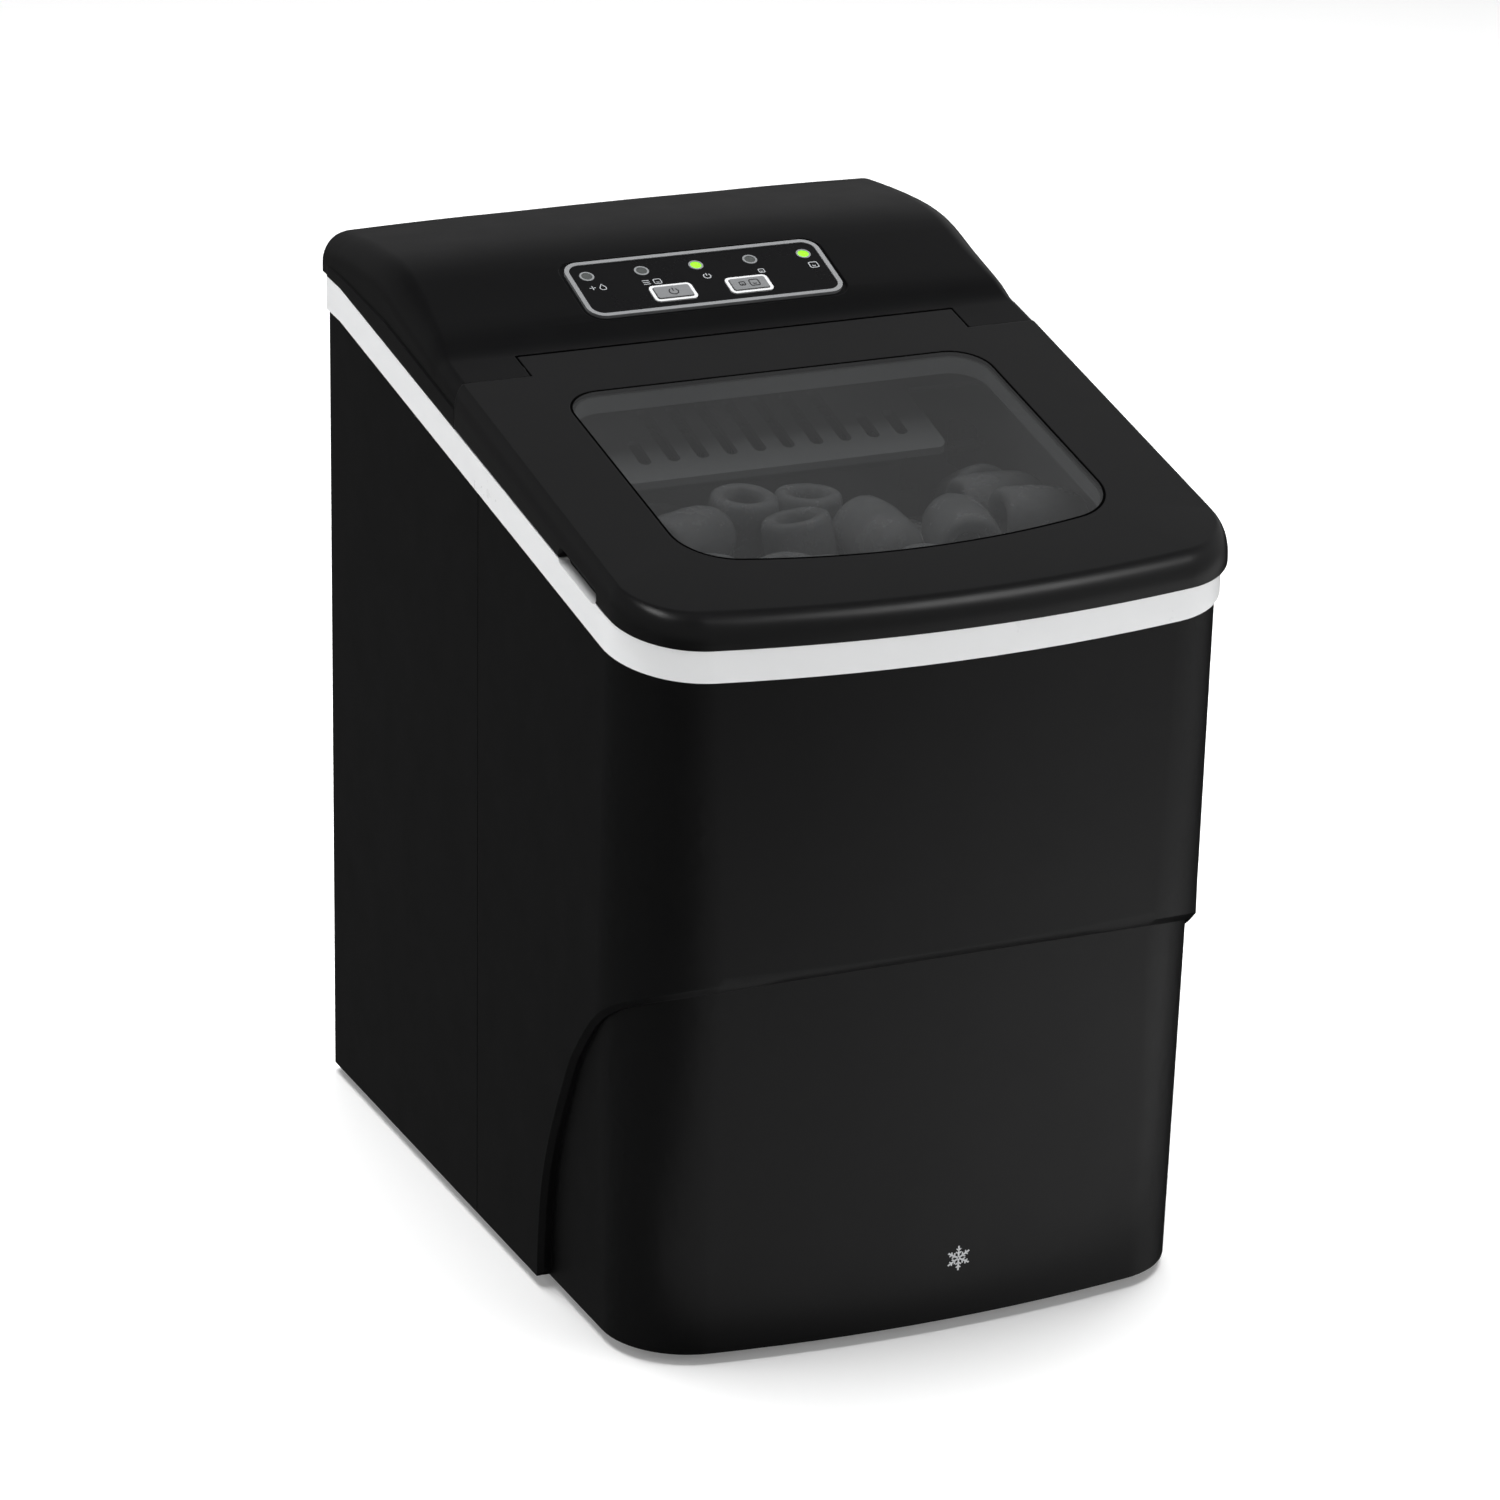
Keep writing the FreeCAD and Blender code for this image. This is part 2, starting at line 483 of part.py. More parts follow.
def hood_section(y, zt):
    rx, rz, cr = lerp(HOOD_RX, y), lerp(HOOD_RZ, y), lerp(HOOD_CROWN, y)
    hw = HOOD_HW
    n = 7
    pts = [(-hw, 262.0)]
    for k in range(n + 1):
        a = 0.5 * math.pi * k / n
        pts.append((-hw + rx * (1 - math.cos(a)), zt - cr - rz * (1 - math.sin(a))))
    for k in range(1, 8):
        x = -(hw - rx) + 2 * (hw - rx) * k / 8.0
        pts.append((x, zt - cr * (x / (hw - rx)) ** 2))
    for k in range(n, -1, -1):
        a = 0.5 * math.pi * k / n
        pts.append((hw - rx * (1 - math.cos(a)), zt - cr - rz * (1 - math.sin(a))))
    pts.append((hw, 262.0))
    return pts


def hood_wire(y, zt, inset=0.0):
    pts = hood_section(y, zt)
    # left wall, left round-over, crown, right round-over, right wall, underside
    L = pts[0]
    left = pts[1:9]
    crown = pts[8:17]
    right = pts[16:24]
    R = pts[-1]
    edges = [Part.LineSegment(V(L[0], y, L[1]), V(left[0][0], y, left[0][1])).toShape()]
    for seg in (left, crown, right):
        c = Part.BSplineCurve()
        c.interpolate([V(p[0], y, p[1]) for p in seg])
        edges.append(c.toShape())
    edges.append(Part.LineSegment(V(right[-1][0], y, right[-1][1]), V(R[0], y, R[1])).toShape())
    edges.append(Part.LineSegment(V(R[0], y, R[1]), V(L[0], y, L[1])).toShape())
    return Part.Wire(edges)


def smooth_profile(tab, ys):
    c = Part.BSplineCurve()
    c.interpolate([V(p[0], p[1], 0) for p in tab])
    out = []
    for y in ys:
        lo, hi = c.FirstParameter, c.LastParameter
        for _ in range(60):
            m = 0.5 * (lo + hi)
            if c.value(m).x < y:
                lo = m
            else:
                hi = m
        out.append(c.value(lo).y)
    return out


hood_ys = [14, 24, 30, 34.2, 37, 40, 43, 46, 50, 55, 62, 70, 78, 84, 90, 96, 102, 110, 120, 132, 142, 152]
hood_zs = smooth_profile(HOOD_PROFILE, hood_ys)
hood_solid = loft([hood_wire(y, z) for y, z in zip(hood_ys, hood_zs)], ruled=True)
# rounded top rear edge
rr = 5.0
rear_round = cut(box(-200, 200, Y_REAR - rr, 170, 200, 400), fuse([
    box(-200, 200, Y_REAR - rr - 1, Y_REAR, 200, 329.0 - rr),
    cyl((-200, Y_REAR - rr, 329.0 - rr), (1, 0, 0), rr, 400)]))
hood_solid = hood_solid.cut(rear_round)
hood_solid = hood_solid.common(plan(HOOD_HW, -60, BOW, 30, Y_REAR, R_REAR + 6, 200, 360))
hood_skirt_line = [(0, band_hi(0) + 6.6), (60, band_hi(60) + 7.4), (87, band_hi(87) + 7.7), (131, band_hi(131) + 4.4), (160, band_hi(160) + 3.0)]
hskirt = plan(LID_HW, -60, BOW, 30, Y_REAR, R_REAR + 1, 200, 360).common(
    prism_x([(0, 200)] + hood_skirt_line + [(160, 200)]))
hood_solid = fuse([hood_solid, hskirt])
hood_solid = hood_solid.common(prism_x([(0, band_hi(0) + 0.05), (131, band_hi(131) + 0.05), (160, band_hi(160) + 0.05), (160, 400), (0, 400)]))
# inside of the hood: the same profile, 3 mm lower and narrower
inner_ys = [36, 42, 46, 50, 62, 78, 84, 90, 102, 120, 147.5]
izs = smooth_profile(HOOD_PROFILE, inner_ys)


def hood_inner_wire(y, zt):
    hw = HOOD_HW - 3.0
    rx = lerp(HOOD_RX, y)
    pts = [(-hw, 250.0), (-hw, zt - 3.0 - lerp(HOOD_RZ, y)), (-hw + rx, zt - 3.2 - lerp(HOOD_CROWN, y)),
           (hw - rx, zt - 3.2 - lerp(HOOD_CROWN, y)), (hw, zt - 3.0 - lerp(HOOD_RZ, y)), (hw, 250.0)]
    return Part.makePolygon([V(p[0], y, p[1]) for p in pts] + [V(pts[0][0], y, pts[0][1])])


hood_inner = loft([hood_inner_wire(y, z) for y, z in zip(inner_ys, izs)], ruled=True)
hood_cav = hood_inner.common(box(-200, 200, HINGE_Y + LIP_R + 3.0, Y_REAR - 3.0, 240, 360))
hood = hood_solid.cut(hood_cav)
# between the ears the hood starts behind the lid's barrel; outboard it ends in the ears
mid_front_cut = fuse([cyl((-TAB_X - 0.8, HINGE_Y, HINGE_Z), (1, 0, 0), LIP_R, 2 * TAB_X + 1.6),
                      box(-TAB_X - 0.8, TAB_X + 0.8, 0, HINGE_Y, 200, 400),
                      box(-TAB_X - 0.8, TAB_X + 0.8, 0, HINGE_Y + LIP_R, 200, HINGE_Z)])
hood = hood.cut(mid_front_cut)
ear_keep = fuse([cyl((-200, HINGE_Y, HINGE_Z), (1, 0, 0), EAR_R, 400), box(-200, 200, HINGE_Y, 200, 200, 400),
                 box(-200, 200, HINGE_Y - EAR_R, 200, 200, HINGE_Z)])
out_l = box(-200, -TAB_X - 0.8, -60, 200, 150, 400)
out_r = box(TAB_X + 0.8, 200, -60, 200, 150, 400)
hood = fuse([hood.common(box(-TAB_X - 0.8, TAB_X + 0.8, -60, 200, 150, 400)), hood.common(out_l).common(ear_keep), hood.common(out_r).common(ear_keep)])
for s in (1, -1):
    hood = hood.cut(cyl((s * (TAB_X - 5), HINGE_Y, HINGE_Z), (s, 0, 0), PIN_BORE_R, 20))

# control panel frame of reference
PT = math.atan(PANEL_SLOPE)
PU, PVv, PN = V(1, 0, 0), V(0, math.cos(PT), math.sin(PT)), V(0, -math.sin(PT), math.cos(PT))
PO = V(0, PANEL_Y - 2.0, PANEL_Z - 0.7)


def pp(u, v, n):
    return PO.add(V(PU.x * u, 0, 0)).add(V(PVv.x * v, PVv.y * v, PVv.z * v)).add(V(PN.x * n, PN.y * n, PN.z * n))


def panel_body(hx, hv, r, n0, n1, cu=0.0, cv=0.0):
    f = rounded_rect_face(hx, hv, r, lambda u, v: pp(u + cu, v + cv, n0))
    return f.extrude(V(PN.x * (n1 - n0), PN.y * (n1 - n0), PN.z * (n1 - n0)))


def panel_cyl(u, v, r, n0, n1):
    p = pp(u, v, n0)
    return Part.makeCylinder(r, n1 - n0, p, PN)


recess = panel_body(PANEL_HX + 1.6, PANEL_HV + 1.6, 7.0, -0.9, 10)
hood = hood.cut(recess)
BTN_V, LED_V = -6.9, 7.9
BTN_HX, BTN_HV = 7.6, 4.15
LED_U = [-42.0, -21.0, 0.0, 21.0, 42.0]
for s in (-1, 1):
    hood = hood.cut(panel_body(BTN_HX + 0.6, BTN_HV + 0.6, 2.0, -14, 4, s * BTN_X, BTN_V))
for u in LED_U:
    hood = hood.cut(panel_cyl(u, LED_V, 2.7, -14, 4))
save("top_hood", hood)

overlay = panel_body(PANEL_HX - 1.7, PANEL_HV - 1.7, 4.7, -0.9, 0.0)
for s in (-1, 1):
    overlay = overlay.cut(panel_body(BTN_HX + 0.6, BTN_HV + 0.6, 2.0, -3, 4, s * BTN_X, BTN_V))
for u in LED_U:
    overlay = overlay.cut(panel_cyl(u, LED_V, 2.7, -3, 4))
save("control_panel", overlay)
frame = panel_body(PANEL_HX, PANEL_HV, 6.4, -0.9, 0.35).cut(panel_body(PANEL_HX - 1.7, PANEL_HV - 1.7, 4.7, -2, 3))
save("panel_frame", frame)
bez = []
for s in (-1, 1):
    b = panel_body(BTN_HX + 0.6, BTN_HV + 0.6, 2.0, -0.9, 0.5, s * BTN_X, BTN_V).cut(
        panel_body(BTN_HX - 0.55, BTN_HV - 0.55, 1.0, -2, 3, s * BTN_X, BTN_V))
    bez.append(b)
save("button_bezels", Part.makeCompound(bez))
lb = []
for u in LED_U:
    lb.append(panel_cyl(u, LED_V, 2.7, -0.9, 0.25).cut(panel_cyl(u, LED_V, 2.0, -2, 2)))
save("indicator_bezels", Part.makeCompound(lb))
BOARD_N = -13.0


def lens(u):
    return fuse([panel_cyl(u, LED_V, 2.0, -6.0, 0.1), panel_cyl(u, LED_V, 1.5, BOARD_N, -5.9)])


save("indicator_lights_off", Part.makeCompound([lens(u) for u in (LED_U[0], LED_U[1], LED_U[3])]))
save("indicator_lights_on", Part.makeCompound([lens(u) for u in (LED_U[2], LED_U[4])]))
for name, s in (("power_button", -1), ("size_button", 1)):
    cap = panel_body(BTN_HX - 0.85, BTN_HV - 0.85, 0.8, -3.4, 0.9, s * BTN_X, BTN_V)
    skirt_b = panel_body(BTN_HX - 0.1, BTN_HV - 0.1, 0.8, -3.4, -2.2, s * BTN_X, BTN_V)
    stem = panel_cyl(s * BTN_X, BTN_V, 1.6, BOARD_N + 4.3 + BTN_TRAVEL + 0.1, -3.3)
    save(name, fuse([cap, skirt_b, stem]))
board = panel_body(46.0, 12.0, 1.5, BOARD_N - 1.6, BOARD_N, 0, 0.8)
sw = []
for s in (-1, 1):
    sw.append(panel_body(3.0, 3.0, 0.5, BOARD_N, BOARD_N + 3.3, s * BTN_X, BTN_V))
    sw.append(panel_cyl(s * BTN_X, BTN_V, 1.6, BOARD_N + 3.2, BOARD_N + 4.2))
sw.append(panel_body(7, 2.2, 0.4, BOARD_N - 6.0, BOARD_N - 1.5, 30, 4))
save("control_board", fuse([board] + sw))

# ---------------------------------------------------------------- inner tub
TUB_HW, TUB_YF, TUB_YB = 96.0, -137.0, 30.0
SH_YB = 122.0          # rear wall of the shallow rear well
SH_Z = 183.5
tub = plan(TUB_HW, TUB_YF, 9.0, 26, TUB_YB, 12, 96, 320)
tub_c = plan(TUB_HW - WALL, TUB_YF + WALL, 9.0, 23.5, TUB_YB - WALL, 9.5, 98.5, 330)
well = box(-TUB_HW, TUB_HW, 10, SH_YB, SH_Z, 320)
well_c = box(-TUB_HW + WALL, TUB_HW - WALL, 0, SH_YB - WALL, SH_Z + WALL, 330)
rimlow = prism_x([(-175, band_lo(-175) + 3.0), (20, band_lo(20) + 3.0), (20, 288), (125, 288), (125, 80), (-175, 80)])
tub_solid = fuse([tub, well]).common(rimlow)
flange = plan(HW - WALL - 0.4, BAND_YF + 3.9 + 0.5, BOW, BAND_RC - 4.4, 20, 0, 200, 320).common(
    prism_x([(-175, band_lo(-175) + 1.0), (20, band_lo(20) + 1.0), (20, band_lo(20) + 3.0), (-175, band_lo(-175) + 3.0)]))
tub_solid = fuse([tub_solid, flange])
tub_solid = cut(tub_solid, tub_c, well_c)
ledges = [box(s * 90 - 4.0, s * 90 + 4.0, -95, 5, 176, 185.8) for s in (1, -1)]
tub_solid = fuse([tub_solid] + ledges)
tub_solid = cut(tub_solid, cyl((-78, 10, 90), (0, 0, 1), 3.2, 20), cyl((60, -95, 90), (0, 0, 1), 5.0, 20))
TRAY_HX = 74.0
tub_solid = cut(tub_solid,
                cyl((90, TRAY_PY, TRAY_PZ), (1, 0, 0), 5.0, 12),
                cyl((-100, SHOVEL_PY, SHOVEL_PZ), (1, 0, 0), 2.06, 200),
                cyl((66, 115, 262), (0, 1, 0), 3.6, 12),
                cyl((-30, 115, 276), (0, 1, 0), 3.2, 12), cyl((30, 115, 276), (0, 1, 0), 1.6, 12),
                cyl((0, 115, 276), (0, 1, 0), 3.2, 12))
save("inner_tub", tub_solid)
foam = plan(HW - WALL - 4.6, -139.0, BOW, 27.5, 24, 4, 100, 240).cut(plan(TUB_HW + 0.3, TUB_YF - 0.3, 9.0, 26.3, 60, 0, 90, 260))
foam = foam.cut(box(-150, 150, -170, -60, 90, 158))
save("tub_insulation", foam)

# ---------------------------------------------------------------- basket
BK_HX, BK_YF, BK_YB, BK_Z0, BK_Z1 = 87.5, -131.5, 14.0, 186.0, 240.0
bk = plan(BK_HX, BK_YF, 8.0, 22, BK_YB, 14, BK_Z0, BK_Z1).cut(plan(BK_HX - 2, BK_YF + 2, 8.0, 20, BK_YB - 2, 12, BK_Z0 + 2, BK_Z1 + 5))
bk_rim = plan(BK_HX + 2.6, BK_YF - 2.6, 8.0, 24.6, BK_YB + 2.6, 16.6, BK_Z1 - 2.2, BK_Z1).cut(plan(BK_HX - 1, BK_YF + 1, 8.0, 21, BK_YB - 1, 13, BK_Z1 - 5, BK_Z1 + 5))
holes = []
for i in range(7):
    for j in range(2):
        x = -66 + 22 * i
        y = -92 + 62 * j
        holes.append(box(x - 2.6, x + 2.6, y - 24, y + 24, BK_Z0 - 1, BK_Z0 + 4))
basket = cut(fuse([bk, bk_rim]), Part.makeCompound(holes))
save("ice_basket", basket)

# ---------------------------------------------------------------- slotted deflector over the evaporator
DEF_TH = math.atan(0.292)
DLIP = (-11.7, 275.0)


def defl(s, n):
    """Point on the deflector: s along the slope from the lip, n above the face."""
    return (DLIP[0] + s * math.cos(DEF_TH) - n * math.sin(DEF_TH), DLIP[1] + s * math.sin(DEF_TH) + n * math.cos(DEF_TH))


plate = prism_x([defl(0, 0), defl(46, 0), defl(46, -2.0), defl(0, -2.0)], -62, 62)
lipd = prism_x([defl(0, 0), defl(2.0, 0), (defl(2.0, 0)[0], defl(0, 0)[1] - 2.6), (defl(0, 0)[0], defl(0, 0)[1] - 2.6)], -62, 62)
sl = []
for k in range(10):
    x = -49.05 + 10.9 * k
    s0 = 12.6
    s1 = 23.0 if k == 0 else (41.0 if k < 8 else 23.8)
    sl.append(prism_x([defl(s0, 3), defl(s1, 3), defl(s1, -4), defl(s0, -4)], x - 2.3, x + 2.3))
    for s in (s0, s1):
        p = defl(s, -4)
        sl.append(Part.makeCylinder(2.3, 8, V(x, p[0], p[1]), V(0, -math.sin(DEF_TH), math.cos(DEF_TH))))
deflector = fuse([plate, lipd])
for c in ((62, 1), (-62, -1)):
    q = defl(0, 0)
    corner = box(min(c[0], c[0] - 5 * c[1]), max(c[0], c[0] - 5 * c[1]), q[0] - 5, q[0] + 5 * math.cos(DEF_TH), 255, 290)
    keep = Part.makeCylinder(5, 60, V(c[0] - 5 * c[1], q[0] + 5 * math.cos(DEF_TH), 245))
    deflector = deflector.cut(corner.cut(keep))
deflector = deflector.cut(Part.makeCompound(sl))
arms = []
for s in (1, -1):
    a0, a1 = (60.0, 93.2) if s > 0 else (-93.2, -60.0)
    arms.append(prism_x([defl(38, 0), defl(46, 0), defl(46, -2.0), defl(38, -2.0)], a0, a1))
deflector = fuse([deflector] + arms)
save("ice_deflector", deflector)

# ---------------------------------------------------------------- evaporator, tray, shovel
ev = [box(-70, 70, 44, 88, 264, 272)]
for x in (-56, -28, 0, 28, 56):
    ev.append(cyl((x, 53, 228), (0, 0, 1), 6.0, 37))
    ev.append(Part.makeSphere(6.0, V(x, 53, 228)))
for x in (-42, -14, 14, 42):
    ev.append(cyl((x, 77, 228), (0, 0, 1), 6.0, 37))
    ev.append(Part.makeSphere(6.0, V(x, 77, 228)))
ev.append(box(-70, -58, 87, SH_YB - WALL - 0.1, 264, 268))
ev.append(box(46, 58, 87, SH_YB - WALL - 0.1, 264, 268))
save("evaporator", fuse(ev))

TR_IN, TR_OUT = 60.0, 62.0
ta, tb = math.radians(186), math.radians(217)


def arcpt(r, a):
    return (TRAY_PY + r * math.cos(a), TRAY_PZ + r * math.sin(a))


def trough(r, z_floor, y_back, x0, x1):
    """Trough section: arc about the tilting axis, flat floor, upright back."""
    a0 = math.asin(max(-1, (z_floor - TRAY_PZ) / r))
    ab = math.pi - a0          # angle where the arc meets the floor
    n = 10
    pts = []
    for k in range(n + 1):
        a = ta + (ab - ta) * k / n
        pts.append(arcpt(r, a))
    pts.append((y_back, z_floor))
    pts.append((y_back, arcpt(r, ta)[1]))
    return prism_x(pts, x0, x1)


tray_o = trough(TR_OUT, 216.5, TRAY_PY - 0.5, -TRAY_HX, TRAY_HX)
tray_i = trough(TR_IN, 218.5, TRAY_PY - 2.5, -TRAY_HX + 2, TRAY_HX - 2)
tray_i = fuse([tray_i, box(-TRAY_HX + 2, TRAY_HX - 2, TRAY_PY - 60, TRAY_PY - 2.5, 240, 256)])
tray = tray_o.cut(tray_i)
hubs = []
for s in (1, -1):
    x0 = TRAY_HX - 2 if s > 0 else -TRAY_HX
    hubs.append(cyl((x0, TRAY_PY, TRAY_PZ), (1, 0, 0), 7.0, 2.0))
    hubs.append(prism_x([(TRAY_PY - 14, 243), (TRAY_PY - 0.5, 243), (TRAY_PY, 256.9), (TRAY_PY - 2, 256.9)], x0, x0 + 2))
tray = fuse([tray] + hubs)
for s in (1, -1):
    tray = tray.cut(cyl((s * (TRAY_HX - 10), TRAY_PY, TRAY_PZ), (s, 0, 0), 3.0, 20))
save("water_tray", tray)
save("tray_shaft", Part.makeCompound([
    cyl((-TRAY_HX - 8.0, TRAY_PY, TRAY_PZ), (1, 0, 0), 3.0, 10.0),
    cyl((TRAY_HX - 2.0, TRAY_PY, TRAY_PZ), (1, 0, 0), 3.0, 20.0)]))
motor = fuse([cyl((-93.4, TRAY_PY, TRAY_PZ), (1, 0, 0), 15.0, 14.0), cyl((-79.5, TRAY_PY, TRAY_PZ), (1, 0, 0), 6.0, 3.0),
              box(-93.4, -91.4, TRAY_PY - 22, TRAY_PY + 22, TRAY_PZ - 5, TRAY_PZ + 5)])
motor = motor.cut(cyl((-82.5, TRAY_PY, TRAY_PZ), (1, 0, 0), 3.06, 10))
save("tray_motor", motor)
bush = fuse([cyl((90.5, TRAY_PY, TRAY_PZ), (1, 0, 0), 4.95, 5.4), cyl((88.5, TRAY_PY, TRAY_PZ), (1, 0, 0), 7.5, 4.9)])
bush = bush.cut(cyl((85, TRAY_PY, TRAY_PZ), (1, 0, 0), 3.06, 12))
save("tray_bush", bush)

sh = box(-60, 60, SHOVEL_PY - 1.0, SHOVEL_PY + 1.0, 216, SHOVEL_PZ)
sh = fuse([sh, cyl((-60, SHOVEL_PY, SHOVEL_PZ), (1, 0, 0), 4.0, 120)])
sh = sh.cut(Part.makeCompound([box(-54 + 9 * k, -50 + 9 * k, 0, 60, 222, 248) for k in range(12)]))
sh = sh.cut(cyl((-80, SHOVEL_PY, SHOVEL_PZ), (1, 0, 0), 2.0, 160))
save("ice_shovel", sh)
save("shovel_shaft", cyl((-95.6, SHOVEL_PY, SHOVEL_PZ), (1, 0, 0), 2.0, 191.2))

# ---------------------------------------------------------------- refrigeration
cx, cy = COMP
comp_prof = [(0, 18), (34, 18), (42, 24), (45.5, 34), (46, 76), (46, 96), (44, 116), (36, 134), (20, 144), (0, 146)]
w = Part.makePolygon([V(p[0], 0, p[1]) for p in comp_prof] + [V(0, 0, 18)])
comp = Part.Face(w).revolve(V(0, 0, 0), V(0, 0, 1), 360)
comp.translate(V(cx, cy, 0))
comp = fuse([comp, cyl((cx, cy, 74), (0, 0, 1), 47.5, 3.0)])
legs = []
for (x, y) in COMP_FEET:
    legs.append(Part.makeCylinder(7.0, 2.0, V(x, y, 16.0)))
    d = V(x - cx, y - cy, 0)
    b = box(0, 50, -7, 7, 16.0, 18.6)
    b.rotate(V(0, 0, 0), V(0, 0, 1), math.degrees(math.atan2(d.y, d.x)))
    b.translate(V(cx, cy, 0))
    legs.append(b)
comp = fuse([comp] + legs)
for (x, y) in COMP_FEET:
    comp = comp.cut(Part.makeCylinder(3.0, 20, V(x, y, 10)))
comp = fuse([comp, box(cx + 38, cx + 52, cy - 14, cy + 14, 84, 112)])
save("compressor", comp)
gr = []
for (x, y) in COMP_FEET:
    g = fuse([Part.makeCylinder(7.0, 16.0 - 7.7, V(x, y, 7.65)), Part.makeCylinder(2.9, 12.2, V(x, y, 7.65)),
              Part.makeCylinder(5.5, 1.5, V(x, y, 18.7))])
    gr.append(g)
save("compressor_grommets", Part.makeCompound(gr))

CX0, CX1, CYc0, CYc1, CZ0, CZ1 = 8.0, 100.0, 112.0, 134.0, 24.0, 132.0
fins = [box(CX0 + 3.5 * k, CX0 + 3.5 * k + 0.9, CYc0, CYc1, CZ0, CZ1) for k in range(27)]
tubes = []
for j in range(6):
    for yy in (117.0, 129.0):
        tubes.append(cyl((CX0 - 3, yy, CZ0 + 9 + 18 * j), (1, 0, 0), 3.2, CX1 - CX0 + 5.5))
bends = []
for j in range(5):
    for yy in (117.0, 129.0):
        bends.append(box(CX1 + 1.2, CX1 + 3.4, yy - 2.2, yy + 2.2, CZ0 + 9 + 18 * j, CZ0 + 27 + 18 * j))
save("condenser", fuse(tubes + bends + fins))
shroud = box(CX0, CX1, 88.0, 111.8, CZ0 - 4, CZ1).cut(box(CX0 + 1.8, CX1 - 1.8, 90, 115, CZ0 - 2.2, CZ1 - 1.8))
shroud = shroud.cut(cyl((FAN_X, 80, FAN_Z), (0, 1, 0), 43.5, 20))
shroud = fuse([shroud, cyl((FAN_X, 82.0, FAN_Z), (0, 1, 0), 45.5, 8.0).cut(cyl((FAN_X, 80, FAN_Z), (0, 1, 0), 43.5, 20)).common(box(CX0, CX1, 70, 100, 20, 140))])
spider = [box(FAN_X - 44.5, FAN_X + 44.5, 80.0, 83.0, FAN_Z - 3, FAN_Z + 3), box(FAN_X - 3, FAN_X + 3, 80.0, 83.0, FAN_Z - 44.5, FAN_Z + 44.5),
          cyl((FAN_X, 80, FAN_Z), (0, 1, 0), 16.0, 3.0)]
shroud = fuse([shroud] + spider).cut(cyl((FAN_X, 70, FAN_Z), (0, 1, 0), 4.0, 30))
save("fan_shroud", shroud)
fmotor = fuse([cyl((FAN_X, 58.0, FAN_Z), (0, 1, 0), 15.0, 22.0), cyl((FAN_X, 79.9, FAN_Z), (0, 1, 0), 3.9, 3.3)])
fmotor = fmotor.cut(cyl((FAN_X, 66.0, FAN_Z), (0, 1, 0), 1.56, 30))
save("fan_motor", fmotor)
hub = cyl((FAN_X, 85.0, FAN_Z), (0, 1, 0), 12.0, 14.0)
shaft = cyl((FAN_X, 67.0, FAN_Z), (0, 1, 0), 1.5, 20.0)
blades = []
for k in range(5):
    b = Part.makeBox(30.0, 1.6, 19.0, V(10.5, -0.8, -9.5))
    b.rotate(V(0, 0, 0), V(1, 0, 0), 62)
    b = b.common(Part.makeCylinder(40.5, 60, V(0, -30, 0), V(0, 1, 0)).cut(Part.makeCylinder(9.0, 60, V(0, -30, 0), V(0, 1, 0))))
    b.rotate(V(0, 0, 0), V(0, 1, 0), 72 * k)
    b.translate(V(FAN_X, 93.5, FAN_Z))
    blades.append(b)
save("fan_blade", fuse([hub, shaft] + blades))

dry = fuse([cyl((14, 56, 60), (0, 0, 1), 9.0, 52), Part.makeCone(9.0, 3.0, 10, V(14, 56, 112)), Part.makeCone(3.0, 9.0, 10, V(14, 56, 50))])
save("filter_dryer", dry)
valve = fuse([box(30, 54, 44, 66, 140, 162), cyl((42, 55, 128), (0, 0, 1), 6.0, 13), cyl((42, 55, 161), (0, 0, 1), 8.0, 6)])
save("hot_gas_valve", valve)
tb1 = pipe([(-38, 64, 138.5), (-38, 64, 162), (-2, 64, 162), (-2, 117, 152), (-2, 117, 123), (5.0, 117, 123)], 2.2, 7)
tb2 = pipe([(5.0, 117, 33), (-2, 117, 33), (-2, 117, 13.5), (12, 84, 13.5), (14, 56, 26), (14, 56, 50.2)], 2.0, 6)
tb3 = pipe([(14, 56, 121.8), (14, 56, 134), (20, 74, 150), (20, 128, 176), (30, 128, 250), (30, 128, 276), (30, 96, 276), (30, 84, 271.9)], 1.2, 5)
tb4 = pipe([(-30, 84, 271.9), (-30, 96, 276), (-30, 127.6, 276), (-28, 127.6, 240), (-28, 127.6, 186), (-56, 119, 158), (-60, 100, 156), (-60, 100, 143.5)], 2.6, 7)
tb5 = pipe([(42, 55, 166.9), (42, 55, 176), (42, 100, 176), (30, 130, 178), (4, 130, 215), (0, 129, 276), (0, 96, 276), (0, 84, 271.9)], 2.2, 6)
save("refrigerant_tubes", Part.makeCompound([tb1, tb2, tb3, tb4, tb5]))

# ---------------------------------------------------------------- water side
pump = fuse([cyl((60, -95, 60), (0, 0, 1), 17.0, 30), cyl((60, -95, 89.9), (0, 0, 1), 4.8, 8.4), cyl((60, -79, 66), (0, 1, 0), 3.6, 12),
             cyl((60, -95, 48), (0, 0, 1), 13.0, 12.1), box(52, 68, -103, -87, 8.0, 48.1).cut(box(54, 66, -101, -89, 7, 46))])
save("water_pump", pump)
hose = pipe([(60, -66.9, 66), (60, -40, 66), (80, 0, 66), (102, 40, 70), (102, 60, 130), (102, 100, 170), (102, 130, 200), (92, 138, 240), (66, 138, 262), (66, 104, 262)], 3.4, 14)
save("pump_hose", hose)
dhose = pipe([(-78, 10, 95.9), (-78, 10, 60), (-90, 24, 40), (-101, 50, DRAIN_Z + 4), (-101, 100, DRAIN_Z), (DRAIN_X, 118, DRAIN_Z), (DRAIN_X, 139.8, DRAIN_Z)], 3.0, 12)
save("drain_hose", dhose)
